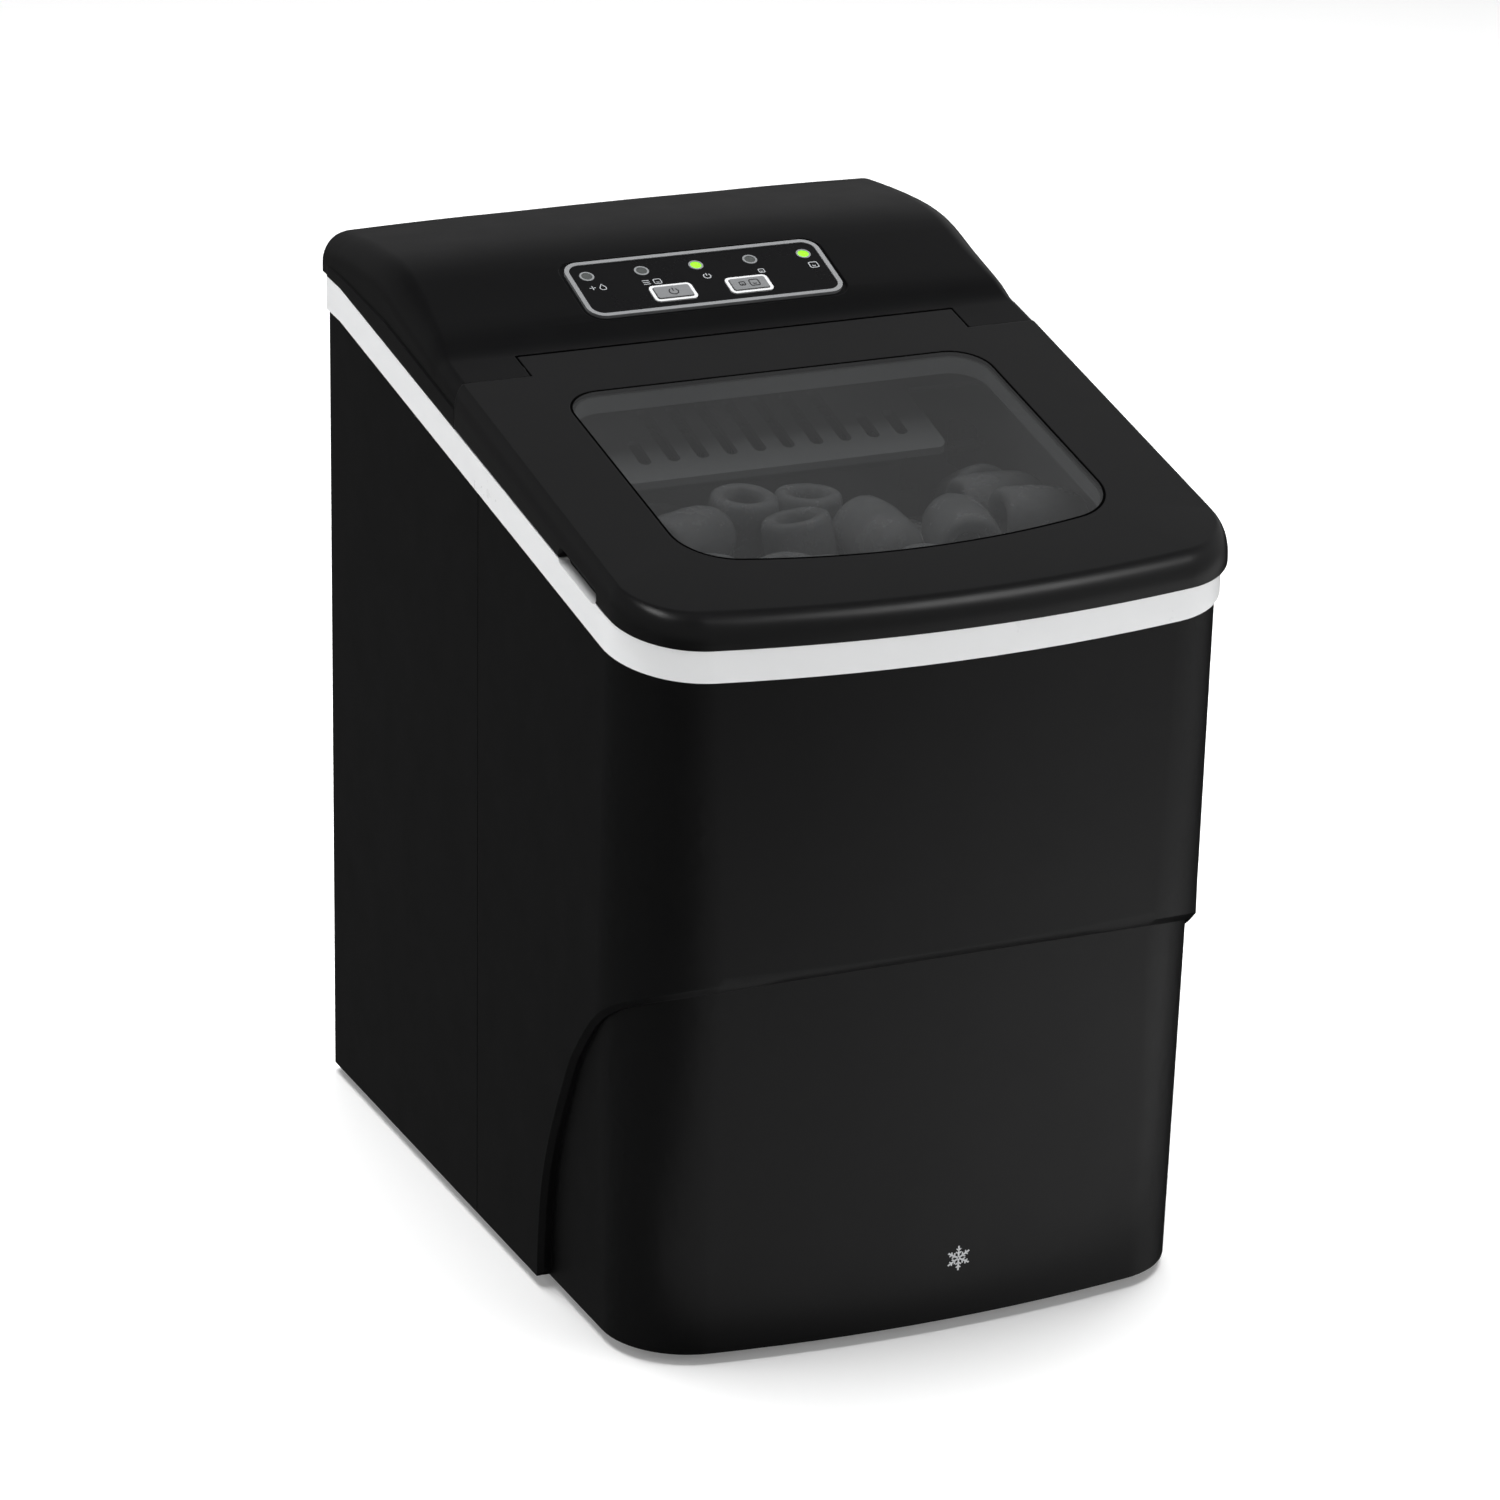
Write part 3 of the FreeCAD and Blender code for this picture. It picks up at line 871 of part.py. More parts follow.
socket = cut(cyl((DRAIN_X, 140.0, DRAIN_Z), (0, 1, 0), 6.9, 8.2), cyl((DRAIN_X, 141.5, DRAIN_Z), (0, 1, 0), 4.06, 20), cyl((DRAIN_X, 139, DRAIN_Z), (0, 1, 0), 2.2, 4))
save("drain_socket", socket)
plug = fuse([cyl((DRAIN_X, 142.0, DRAIN_Z), (0, 1, 0), 4.0, 6.6), cyl((DRAIN_X, 148.4, DRAIN_Z), (0, 1, 0), 6.6, 1.9)])
plug = plug.cut(box(DRAIN_X - 1.0, DRAIN_X + 1.0, 149.2, 151, DRAIN_Z - 5, DRAIN_Z + 5))
save("drain_plug", plug)
gland = fuse([cyl((CORD_X, 138.0, CORD_Z), (0, 1, 0), 7.9, 12.4), cyl((CORD_X, 134.5, CORD_Z), (0, 1, 0), 10.0, 13.3)])
gland = gland.cut(cyl((CORD_X, 130, CORD_Z), (0, 1, 0), 3.5, 30))
save("cord_gland", gland)
float_s = fuse([cyl((-80, -112, 98.5), (0, 0, 1), 2.0, 28), cyl((-80, -112, 112), (0, 0, 1), 8.0, 12)])
save("water_level_sensor", float_s)
sens = []
for s in (1, -1):
    x0, x1 = (88.0, 93.4) if s > 0 else (-93.4, -88.0)
    sens.append(fuse([box(x0, x1, 30, 42, 250, 266), cyl((s * 88.4, 36, 258), (-s, 0, 0), 2.5, 1.8)]))
save("ice_full_sensor", Part.makeCompound(sens))
pcb = fuse([box(-88, 20, 138.5, 140.1, 205, 285), box(-80, -58, 126, 138.6, 215, 240), box(-50, -34, 128, 138.6, 212, 232),
            cyl((-20, 138.6, 225), (0, -1, 0), 8, 8), box(-76, -50, 130, 138.6, 255, 275), box(-10, 12, 132, 138.6, 250, 270),
            box(-86, -82, 140.0, 147.9, 207, 211), box(14, 18, 140.0, 147.9, 207, 211), box(-86, -82, 140.0, 147.9, 279, 283), box(14, 18, 140.0, 147.9, 279, 283)])
save("power_board", pcb)

bb = Part.makeCompound(list(NODES.values())).BoundBox
print("ALL x %.2f..%.2f y %.2f..%.2f z %.2f..%.2f" % (bb.XMin, bb.XMax, bb.YMin, bb.YMax, bb.ZMin, bb.ZMax), len(NODES), "nodes")
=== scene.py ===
import bpy, bmesh, math
from mathutils import Vector, Matrix, noise
from mathutils.bvhtree import BVHTree


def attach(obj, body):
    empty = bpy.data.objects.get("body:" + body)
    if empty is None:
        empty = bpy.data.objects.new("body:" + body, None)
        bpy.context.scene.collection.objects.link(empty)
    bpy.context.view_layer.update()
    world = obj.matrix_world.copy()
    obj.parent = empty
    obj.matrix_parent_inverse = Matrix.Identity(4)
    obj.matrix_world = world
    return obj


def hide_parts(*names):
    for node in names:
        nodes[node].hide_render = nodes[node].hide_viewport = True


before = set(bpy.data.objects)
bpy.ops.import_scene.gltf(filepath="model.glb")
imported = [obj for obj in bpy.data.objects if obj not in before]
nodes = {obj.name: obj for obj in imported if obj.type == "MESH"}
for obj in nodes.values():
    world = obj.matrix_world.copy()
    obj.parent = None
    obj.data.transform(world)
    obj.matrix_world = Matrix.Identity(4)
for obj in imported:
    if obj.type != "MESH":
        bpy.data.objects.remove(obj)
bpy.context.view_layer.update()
scene = bpy.context.scene
MM = 0.001

# ------------------------------------------------------------------ materials


def tree(name):
    m = bpy.data.materials.new(name)
    m.use_nodes = True
    nt = m.node_tree
    for n in list(nt.nodes):
        nt.nodes.remove(n)
    out = nt.nodes.new("ShaderNodeOutputMaterial")
    p = nt.nodes.new("ShaderNodeBsdfPrincipled")
    nt.links.new(p.outputs[0], out.inputs[0])
    return m, nt, p


def noise_node(nt, scale, detail=3.0, rough=0.5, stretch=None, coords=None):
    tc = nt.nodes.new("ShaderNodeTexCoord")
    n = nt.nodes.new("ShaderNodeTexNoise")
    n.inputs["Scale"].default_value = scale
    n.inputs["Detail"].default_value = detail
    n.inputs["Roughness"].default_value = rough
    if stretch:
        mp = nt.nodes.new("ShaderNodeMapping")
        mp.inputs["Scale"].default_value = stretch
        nt.links.new(tc.outputs["Object"], mp.inputs["Vector"])
        nt.links.new(mp.outputs[0], n.inputs["Vector"])
    else:
        nt.links.new(tc.outputs["Object"], n.inputs["Vector"])
    return n


def ramp(nt, src, lo, hi, a=0.3, b=0.7):
    r = nt.nodes.new("ShaderNodeMapRange")
    r.inputs["From Min"].default_value = a
    r.inputs["From Max"].default_value = b
    r.inputs["To Min"].default_value = lo
    r.inputs["To Max"].default_value = hi
    nt.links.new(src, r.inputs["Value"])
    return r.outputs[0]


def colour_mix(nt, src, c0, c1, a=0.3, b=0.7):
    r = nt.nodes.new("ShaderNodeValToRGB")
    r.color_ramp.elements[0].position = a
    r.color_ramp.elements[1].position = b
    r.color_ramp.elements[0].color = (*c0, 1)
    r.color_ramp.elements[1].color = (*c1, 1)
    nt.links.new(src, r.inputs[0])
    return r.outputs[0]


def bump(nt, p, src, strength, distance, prev=None):
    b = nt.nodes.new("ShaderNodeBump")
    b.inputs["Strength"].default_value = strength
    b.inputs["Distance"].default_value = distance
    nt.links.new(src, b.inputs["Height"])
    if prev is not None:
        nt.links.new(prev, b.inputs["Normal"])
    nt.links.new(b.outputs[0], p.inputs["Normal"])
    return b.outputs[0]


def plastic(name, base, rough, spec=0.5, var=0.08, grain=1500.0, depth=0.00003, strength=0.25, rvar=0.05, ior=1.46, edge=0.0):
    """Moulded plastic: spark-eroded grain, faint cloudy colour and gloss variation."""
    m, nt, p = tree(name)
    cloud = noise_node(nt, 22.0, 4.0, 0.55)
    c0 = tuple(max(0.0, c * (1 - var)) for c in base)
    c1 = tuple(min(1.0, c * (1 + var)) for c in base)
    nt.links.new(colour_mix(nt, cloud.outputs[0], c0, c1), p.inputs["Base Color"])
    smear = noise_node(nt, 60.0, 5.0, 0.6)
    nt.links.new(ramp(nt, smear.outputs[0], rough - rvar, rough + rvar), p.inputs["Roughness"])
    p.inputs["Specular IOR Level"].default_value = spec
    p.inputs["IOR"].default_value = ior
    if strength > 0:
        g = noise_node(nt, grain, 2.0, 0.6)
        bump(nt, p, g.outputs[0], strength, depth)
        if edge > 0:
            bv = nt.nodes.new("ShaderNodeBevel")
            bv.samples = 6
            bv.inputs["Radius"].default_value = edge
            nt.links.new(bv.outputs["Normal"], p.inputs["Normal"].links[0].from_node.inputs["Normal"])
    return m


def metal(name, base, rough, brushed=None, grain=700.0, strength=0.12):
    m, nt, p = tree(name)
    p.inputs["Metallic"].default_value = 1.0
    cloud = noise_node(nt, 35.0, 3.0)
    nt.links.new(colour_mix(nt, cloud.outputs[0], tuple(c * 0.9 for c in base), base), p.inputs["Base Color"])
    n = noise_node(nt, grain, 3.0, 0.6, brushed)
    nt.links.new(ramp(nt, n.outputs[0], rough * 0.8, rough * 1.25), p.inputs["Roughness"])
    bump(nt, p, n.outputs[0], strength, 0.00002)
    return m


M = {}
M["shell"] = plastic("shell_black", (0.0036, 0.0036, 0.0038), 0.40, spec=0.24, var=0.05, grain=1900, depth=0.00003, strength=0.20, rvar=0.02, edge=0.0006)
M["hood"] = plastic("hood_black", (0.0021, 0.0021, 0.0023), 0.36, spec=0.45, var=0.05, grain=1900, depth=0.00003, strength=0.16, rvar=0.02, edge=0.0006)
M["lid"] = plastic("lid_black", (0.0042, 0.0042, 0.0044), 0.30, spec=0.50, var=0.05, grain=2100, depth=0.00003, strength=0.12, rvar=0.02, edge=0.0006)
M["band"] = plastic("band_white", (0.76, 0.765, 0.77), 0.30, spec=0.4, var=0.012, grain=900, depth=0.00002, strength=0.05, rvar=0.03)
M["panel"] = plastic("panel_film", (0.0035, 0.0035, 0.0038), 0.28, spec=0.40, var=0.05, grain=2600, depth=0.00002, strength=0.08, rvar=0.02)
M["line"] = plastic("panel_line", (0.165, 0.168, 0.172), 0.38, spec=0.5, var=0.05, grain=2500, strength=0.08)
M["key"] = plastic("key_grey", (0.135, 0.138, 0.142), 0.34, spec=0.5, var=0.05, grain=2200, strength=0.12)
M["bezel"] = plastic("bright_rim", (0.50, 0.505, 0.51), 0.30, spec=0.6, var=0.03, grain=2500, strength=0.03)
M["ring"] = plastic("led_ring", (0.16, 0.165, 0.17), 0.34, spec=0.5, var=0.05, grain=2500, strength=0.05)
M["inner"] = plastic("liner_grey", (0.52, 0.54, 0.55), 0.42, spec=0.5, var=0.03, grain=1200, strength=0.12)
M["tub"] = plastic("tub_liner", (0.60, 0.62, 0.63), 0.36, spec=0.5, var=0.03, grain=1200, strength=0.10)
M["basket"] = plastic("basket_grey", (0.46, 0.48, 0.49), 0.40, spec=0.5, var=0.04, grain=1300, strength=0.10)
M["deflector"] = plastic("deflector_grey", (0.33, 0.345, 0.35), 0.42, spec=0.5, var=0.04, grain=1300, strength=0.14)
M["foam"] = plastic("foam_cream", (0.72, 0.68, 0.56), 0.85, spec=0.2, var=0.08, grain=500, depth=0.0003, strength=0.5)
M["rubber"] = plastic("rubber_black", (0.010, 0.010, 0.0105), 0.62, spec=0.3, var=0.15, grain=1400, depth=0.00005, strength=0.3, rvar=0.08)
M["seal"] = plastic("window_seal_black", (0.0010, 0.0010, 0.0010), 0.6, spec=0.0, var=0.1, grain=1800, strength=0.1)
M["hose"] = plastic("silicone_hose", (0.55, 0.58, 0.58), 0.38, spec=0.4, var=0.05, grain=500, strength=0.08)
M["part"] = plastic("plain_black", (0.016, 0.016, 0.017), 0.48, spec=0.4, var=0.1, grain=1200, strength=0.25)
M["white"] = plastic("plain_white", (0.62, 0.62, 0.60), 0.45, spec=0.5, var=0.04, grain=1100, strength=0.15)
M["steel"] = metal("zinc_steel", (0.58, 0.59, 0.60), 0.32)
M["nickel"] = metal("nickel_plate", (0.70, 0.71, 0.72), 0.18, strength=0.05)
M["copper"] = metal("drawn_copper", (0.78, 0.38, 0.22), 0.30, grain=300, strength=0.08)
M["fins"] = metal("fin_aluminium", (0.74, 0.75, 0.76), 0.35)


def condenser_mat():
    m, nt, p = tree("condenser_fins")
    p.inputs["Metallic"].default_value = 1.0
    tc = nt.nodes.new("ShaderNodeTexCoord")
    w = nt.nodes.new("ShaderNodeTexWave")
    w.bands_direction = "X"
    w.inputs["Scale"].default_value = 160.0
    w.inputs["Distortion"].default_value = 0.15
    nt.links.new(tc.outputs["Object"], w.inputs["Vector"])
    # fin stripes: the bright bands are the fins, the dark bands are painted shade in the gaps between them
    nt.links.new(colour_mix(nt, w.outputs[1], (0.25, 0.25, 0.26), (0.80, 0.81, 0.82), 0.2, 0.8), p.inputs["Base Color"])
    p.inputs["Roughness"].default_value = 0.35
    bump(nt, p, w.outputs[1], 0.8, 0.0006)
    return m


M["condenser"] = condenser_mat()


def enamel():
    m, nt, p = tree("compressor_enamel")
    n = noise_node(nt, 90.0, 4.0, 0.6)
    nt.links.new(colour_mix(nt, n.outputs[0], (0.009, 0.009, 0.010), (0.018, 0.018, 0.019)), p.inputs["Base Color"])
    p.inputs["Roughness"].default_value = 0.28
    p.inputs["Coat Weight"].default_value = 0.4
    p.inputs["Coat Roughness"].default_value = 0.12
    bump(nt, p, n.outputs[0], 0.25, 0.0003)
    return m


M["enamel"] = enamel()


def board():
    m, nt, p = tree("circuit_board")
    tc = nt.nodes.new("ShaderNodeTexCoord")
    br = nt.nodes.new("ShaderNodeTexVoronoi")
    br.distance = "MANHATTAN"
    br.inputs["Scale"].default_value = 260.0
    nt.links.new(tc.outputs["Object"], br.inputs["Vector"])
    nt.links.new(colour_mix(nt, br.outputs[0], (0.02, 0.14, 0.06), (0.05, 0.26, 0.10), 0.1, 0.5), p.inputs["Base Color"])
    p.inputs["Roughness"].default_value = 0.35
    bump(nt, p, br.outputs[0], 0.3, 0.0001)
    return m


M["board"] = board()


def window():
    """Smoked polycarbonate: half clear, and its cut edge stays out of sight."""
    m, nt, p = tree("smoked_window")
    n = noise_node(nt, 14.0, 3.0, 0.5)
    nt.links.new(colour_mix(nt, n.outputs[0], (0.024, 0.0245, 0.025), (0.030, 0.0305, 0.031)), p.inputs["Base Color"])
    nt.links.new(ramp(nt, n.outputs[0], 0.10, 0.16), p.inputs["Roughness"])
    p.inputs["Specular IOR Level"].default_value = 0.6
    tc = nt.nodes.new("ShaderNodeTexCoord")
    sx = nt.nodes.new("ShaderNodeSeparateXYZ")
    nt.links.new(tc.outputs["Normal"], sx.inputs[0])
    ab = nt.nodes.new("ShaderNodeMath")
    ab.operation = "ABSOLUTE"
    nt.links.new(sx.outputs["Z"], ab.inputs[0])
    gt = nt.nodes.new("ShaderNodeMath")
    gt.operation = "GREATER_THAN"
    gt.inputs[1].default_value = 0.6
    nt.links.new(ab.outputs[0], gt.inputs[0])
    al = nt.nodes.new("ShaderNodeMath")
    al.operation = "MULTIPLY"
    al.inputs[1].default_value = 0.50
    nt.links.new(gt.outputs[0], al.inputs[0])
    nt.links.new(al.outputs[0], p.inputs["Alpha"])
    return m


M["window"] = window()


def rim():
    """Lid liner the pane rests on: its upward faces are darkened with painted shade."""
    m = plastic("lid_liner_grey_painted_shade", (0.52, 0.54, 0.55), 0.42, spec=0.5, var=0.03, grain=1200, strength=0.12)
    nt = m.node_tree
    p = nt.nodes["Principled BSDF"]
    src = p.inputs["Base Color"].links[0].from_socket
    # painted shade: faces pointing up (normal z above 0.93) get their grey scaled down to 0.12
    tc = nt.nodes.new("ShaderNodeTexCoord")
    sx = nt.nodes.new("ShaderNodeSeparateXYZ")
    nt.links.new(tc.outputs["Normal"], sx.inputs[0])
    gt = nt.nodes.new("ShaderNodeMath")
    gt.operation = "GREATER_THAN"
    gt.inputs[1].default_value = 0.93
    nt.links.new(sx.outputs["Z"], gt.inputs[0])
    sc = nt.nodes.new("ShaderNodeVectorMath")
    sc.operation = "SCALE"
    nt.links.new(src, sc.inputs[0])
    nt.links.new(ramp(nt, gt.outputs[0], 1.0, 0.12), sc.inputs["Scale"])
    nt.links.new(sc.outputs[0], p.inputs["Base Color"])
    return m


M["rim"] = rim()


def led(name, base, glow):
    m, nt, p = tree(name)
    tc = nt.nodes.new("ShaderNodeTexCoord")
    n = noise_node(nt, 1500.0, 2.0)
    c1 = tuple(min(1.0, c * 1.25) for c in base)
    col = colour_mix(nt, n.outputs[0], base, c1)
    nt.links.new(col, p.inputs["Base Color"])
    p.inputs["Roughness"].default_value = 0.25
    if glow > 0:
        nt.links.new(col, p.inputs["Emission Color"])
        p.inputs["Emission Strength"].default_value = glow
    return m


M["led_on"] = led("led_green", (0.15, 0.62, 0.014), 0.85)
M["led_off"] = led("led_unlit", (0.045, 0.048, 0.047), 0.0)


def ice_mat():
    m, nt, p = tree("ice")
    n = noise_node(nt, 130.0, 5.0, 0.62)
    nt.links.new(colour_mix(nt, n.outputs[0], (0.45, 0.465, 0.475), (0.62, 0.635, 0.645)), p.inputs["Base Color"])
    nt.links.new(ramp(nt, n.outputs[0], 0.10, 0.34), p.inputs["Roughness"])
    p.inputs["IOR"].default_value = 1.31
    p.inputs["Transmission Weight"].default_value = 0.40
    p.inputs["Subsurface Weight"].default_value = 0.35
    p.inputs["Subsurface Scale"].default_value = 0.006
    p.inputs["Subsurface Radius"].default_value = (0.9, 1.0, 1.1)
    n2 = noise_node(nt, 420.0, 4.0, 0.6)
    bump(nt, p, n2.outputs[0], 0.35, 0.0006)
    return m


M["ice"] = ice_mat()
M["mark"] = plastic("printed_mark", (0.50, 0.51, 0.52), 0.42, spec=0.4, var=0.05, grain=2500, strength=0.04)
M["mark_dim"] = plastic("printed_symbol", (0.30, 0.31, 0.32), 0.42, spec=0.4, var=0.05, grain=2500, strength=0.04)
M["key_mark"] = plastic("key_symbol", (0.018, 0.018, 0.019), 0.40, spec=0.4, var=0.05, grain=2500, strength=0.04)

LOOK = {
    "front_housing": "shell", "rear_housing": "shell", "top_hood": "hood", "lid_frame": "lid", "trim_band": "band",
    "lid_window": "window", "window_seal": "seal", "lid_inner_frame": "rim", "control_panel": "panel", "panel_frame": "line",
    "button_bezels": "bezel", "indicator_bezels": "ring", "indicator_lights_on": "led_on", "indicator_lights_off": "led_off",
    "power_button": "key", "size_button": "key", "control_board": "board", "inner_tub": "tub", "tub_insulation": "foam",
    "ice_basket": "basket", "ice_deflector": "deflector", "evaporator": "nickel", "water_tray": "inner", "tray_shaft": "steel",
    "tray_motor": "white", "tray_bush": "white", "ice_shovel": "deflector", "shovel_shaft": "steel", "compressor": "enamel",
    "compressor_grommets": "rubber", "condenser": "condenser", "fan_shroud": "part", "fan_motor": "part", "fan_blade": "part",
    "filter_dryer": "copper", "hot_gas_valve": "steel", "refrigerant_tubes": "copper", "water_pump": "white", "pump_hose": "hose",
    "drain_hose": "hose", "drain_socket": "part", "drain_plug": "rubber", "cord_gland": "part", "water_level_sensor": "white",
    "ice_full_sensor": "part", "power_board": "board", "base_tray": "part", "rubber_feet": "rubber", "lid_hinge_pins": "steel",
    "lid_screws": "steel", "housing_screws": "steel", "lid_bumpers": "rubber",
}
for n, o in nodes.items():
    mat = M[LOOK[n]]
    if not o.material_slots:
        o.data.materials.append(mat)
    for s in o.material_slots:
        s.material = mat


def new_obj(name, bm, mat, body, smooth=True):
    me = bpy.data.meshes.new(name)
    bm.to_mesh(me)
    bm.free()
    o = bpy.data.objects.new(name, me)
    scene.collection.objects.link(o)
    me.materials.append(mat)
    for p in me.polygons:
        p.use_smooth = smooth
    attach(o, body)
    return o


# ------------------------------------------------------------------ shells with continuous shading
def smooth_shell(node, body, angle=32.0):
    """The same surface as the CAD node, welded, with soft normals inside each surface and crisp ones at its edges."""
    src = nodes[node]
    bm = bmesh.new()
    bm.from_mesh(src.data)
    bmesh.ops.remove_doubles(bm, verts=bm.verts, dist=2e-6)
    bmesh.ops.dissolve_degenerate(bm, dist=1e-6, edges=bm.edges)
    for f in bm.faces:
        f.smooth = True
    for e in bm.edges:
        e.smooth = len(e.link_faces) == 2 and e.calc_face_angle(0.0) < math.radians(angle)
    me = bpy.data.meshes.new(node + "_shell")
    bm.to_mesh(me)
    bm.free()
    me.materials.append(M[LOOK[node]])
    o = bpy.data.objects.new(node + "_shell", me)
    scene.collection.objects.link(o)
    md = o.modifiers.new("weighted", "WEIGHTED_NORMAL")
    md.keep_sharp = True
    md.mode = "FACE_AREA"
    md.weight = 50
    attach(o, body)
    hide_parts(node)
    return o


for n_, b_ in (("front_housing", "cabinet"), ("rear_housing", "cabinet"), ("top_hood", "cabinet"), ("lid_frame", "lid"),
               ("trim_band", "cabinet"), ("inner_tub", "cabinet"), ("ice_basket", "basket"), ("ice_deflector", "cabinet"),
               ("lid_inner_frame", "lid"), ("base_tray", "cabinet"), ("button_bezels", "cabinet"), ("panel_frame", "cabinet")):
    smooth_shell(n_, b_)

# the rim of the pane shows from above as a thin black line, flush with the lid
bm = bmesh.new()
rim_src = nodes["window_seal"].data
ys_ = [v.co.y for v in rim_src.vertices]
hx_, cy_, hy_ = max(v.co.x for v in rim_src.vertices), 0.5 * (min(ys_) + max(ys_)), 0.5 * (max(ys_) - min(ys_))
for inset in (0.0, 0.00035):
    n0 = len(bm.verts)
    bm.from_mesh(rim_src)
    bm.verts.ensure_lookup_table()
    for v in bm.verts[n0:]:
        plane = 0.3079 + 0.208 * (v.co.y - 0.0014 - 0.02135)
        over = 0.00002 if v.co.z > plane - 0.0008 else -0.00003
        v.co.x *= 1.0 - inset / hx_
        v.co.y = cy_ + (v.co.y - cy_) * (1.0 - inset / hy_)
        v.co.z = 0.3079 + 0.208 * (v.co.y - 0.0014 - 0.02135) + over
new_obj("pane_line", bm, M["seal"], "lid", smooth=False)


# ------------------------------------------------------------------ ice in the basket
ICE = [  # centre in millimetres and the direction of the open end
    (49.9, -98.0, 255.6, -0.875, 0.476, 0.089), (-48.4, -38.1, 261.0, -0.894, -0.448, 0.013), (43.3, -58.1, 260.1, -0.189, -0.980, -0.059),
    (13.6, -58.6, 260.1, -0.028, 0.998, 0.054), (75.7, -56.6, 260.1, -0.996, 0.027, 0.085), (72.8, -30.4, 257.8, -1.000, 0.017, -0.008),
    (-80.1, -83.6, 251.9, 0.026, -1.000, -0.013), (-79.7, -116.8, 241.2, -0.017, 0.029, 0.999), (-75.5, 6.4, 246.8, 0.078, -0.027, 0.997),
    (78.5, -111.2, 242.5, -0.039, 0.017, 0.999), (-24.1, -24.8, 255.0, 0.035, -0.074, 0.997), (-82.4, -21.3, 254.9, 0.089, 0.002, 0.996),
    (3.6, -116.0, 243.9, 0.960, -0.072, 0.270), (27.2, -20.6, 247.3, -0.206, -0.965, -0.162), (0.2, -25.7, 253.0, 0.046, 0.013, 0.999),
    (-36.5, -91.3, 252.6, -0.052, -0.041, 0.998), (-15.7, -77.0, 252.3, -0.709, 0.666, -0.232), (-10.8, -47.1, 252.2, -0.142, 0.107, 0.984),
    (-51.8, -111.1, 241.8, -0.187, 0.047, 0.981), (35.5, -115.6, 240.9, -0.307, -0.155, 0.939), (72.8, -5.6, 250.8, -0.014, -0.900, 0.436),
    (-45.3, -5.0, 244.8, 0.082, -0.003, 0.997), (-56.5, -73.4, 248.7, 0.276, 0.717, 0.641), (-24.5, -113.8, 241.5, -0.278, -0.182, 0.943),
    (-75.0, -52.9, 248.3, -0.292, 0.044, 0.955), (16.2, -88.6, 248.1, -0.083, -0.188, 0.979), (74.9, -77.6, 245.3, 0.059, -0.720, 0.691),
    (46.8, -86.4, 242.2, -0.981, -0.169, -0.092), (25.9, -54.6, 241.4, -0.111, -0.984, -0.143), (-54.9, -30.4, 239.4, -0.822, 0.527, 0.215),
    (47.5, -10.8, 236.5, -0.082, -0.997, -0.004), (15.6, 1.1, 235.0, -0.657, 0.010, 0.753), (50.4, -56.9, 233.6, 0.031, -0.078, 0.996),
    (-39.5, -62.0, 233.4, 0.457, 0.569, 0.684), (74.1, -36.4, 232.8, -0.089, 0.996, -0.002), (-20.6, -14.8, 227.4, -0.546, -0.838, -0.015),
    (67.6, -112.3, 227.3, 0.998, -0.041, 0.040), (-11.2, -83.4, 226.4, 0.954, -0.142, 0.264), (-0.7, -110.9, 225.1, 0.926, -0.033, 0.376),
    (-73.5, -111.6, 223.5, -0.073, -0.048, 0.996), (-44.2, -110.1, 223.4, -0.159, 0.984, -0.076), (-10.0, -52.5, 223.1, -0.230, -0.968, 0.105),
    (21.9, -24.5, 222.8, -0.785, 0.033, 0.619), (-66.4, -85.0, 222.5, -0.867, -0.102, 0.487), (-73.4, -1.1, 221.8, 0.054, 0.172, 0.984),
    (67.6, -88.6, 220.1, -0.992, 0.018, -0.124), (29.4, -80.9, 218.7, -0.989, 0.150, 0.009), (-66.5, -36.8, 218.6, -0.018, -0.998, 0.057),
    (20.1, -51.9, 218.3, -0.975, 0.223, 0.009), (71.8, -0.4, 217.3, 0.017, -0.996, -0.085), (50.5, -53.1, 215.1, -0.222, -0.973, -0.061),
    (-41.6, -10.9, 213.1, 0.781, -0.388, -0.489), (32.2, -111.5, 212.6, 0.847, -0.042, 0.531), (74.3, -68.2, 209.2, 0.088, 0.598, 0.797),
    (-20.9, -83.9, 207.7, -0.208, 0.095, 0.974), (-29.7, -42.6, 207.5, -0.344, -0.108, 0.933), (45.6, 0.1, 205.6, -0.005, -0.008, 1.000),
    (74.0, -27.3, 204.4, -0.009, -0.088, 0.996), (-6.2, -24.1, 202.8, -0.244, 0.142, 0.960), (70.9, -112.3, 202.5, -0.042, -0.064, 0.997),
    (14.0, -0.6, 200.8, -0.994, 0.108, 0.001), (5.6, -106.6, 200.2, -0.045, -0.999, -0.009), (50.0, -26.8, 200.1, -0.009, -0.100, 0.995),
    (-45.5, -74.2, 199.9, -0.046, 0.999, 0.013), (-30.6, -111.4, 199.6, -0.997, 0.005, -0.072), (-73.5, -72.0, 199.6, -0.078, -0.995, -0.056),
    (-2.9, -64.3, 199.5, -0.884, 0.464, -0.061), (-23.3, 4.4, 198.8, -0.993, 0.089, -0.080), (-52.5, -39.1, 198.0, -0.086, -0.996, 0.008),
    (-65.9, -103.7, 197.3, -0.985, 0.158, -0.064), (23.2, -42.0, 197.1, 0.896, -0.436, -0.087), (-76.1, -27.9, 196.0, -0.089, -0.992, 0.088),
    (38.0, -88.3, 195.9, 0.662, -0.750, 0.018), (66.1, -51.0, 193.4, 0.995, 0.044, 0.088),
]

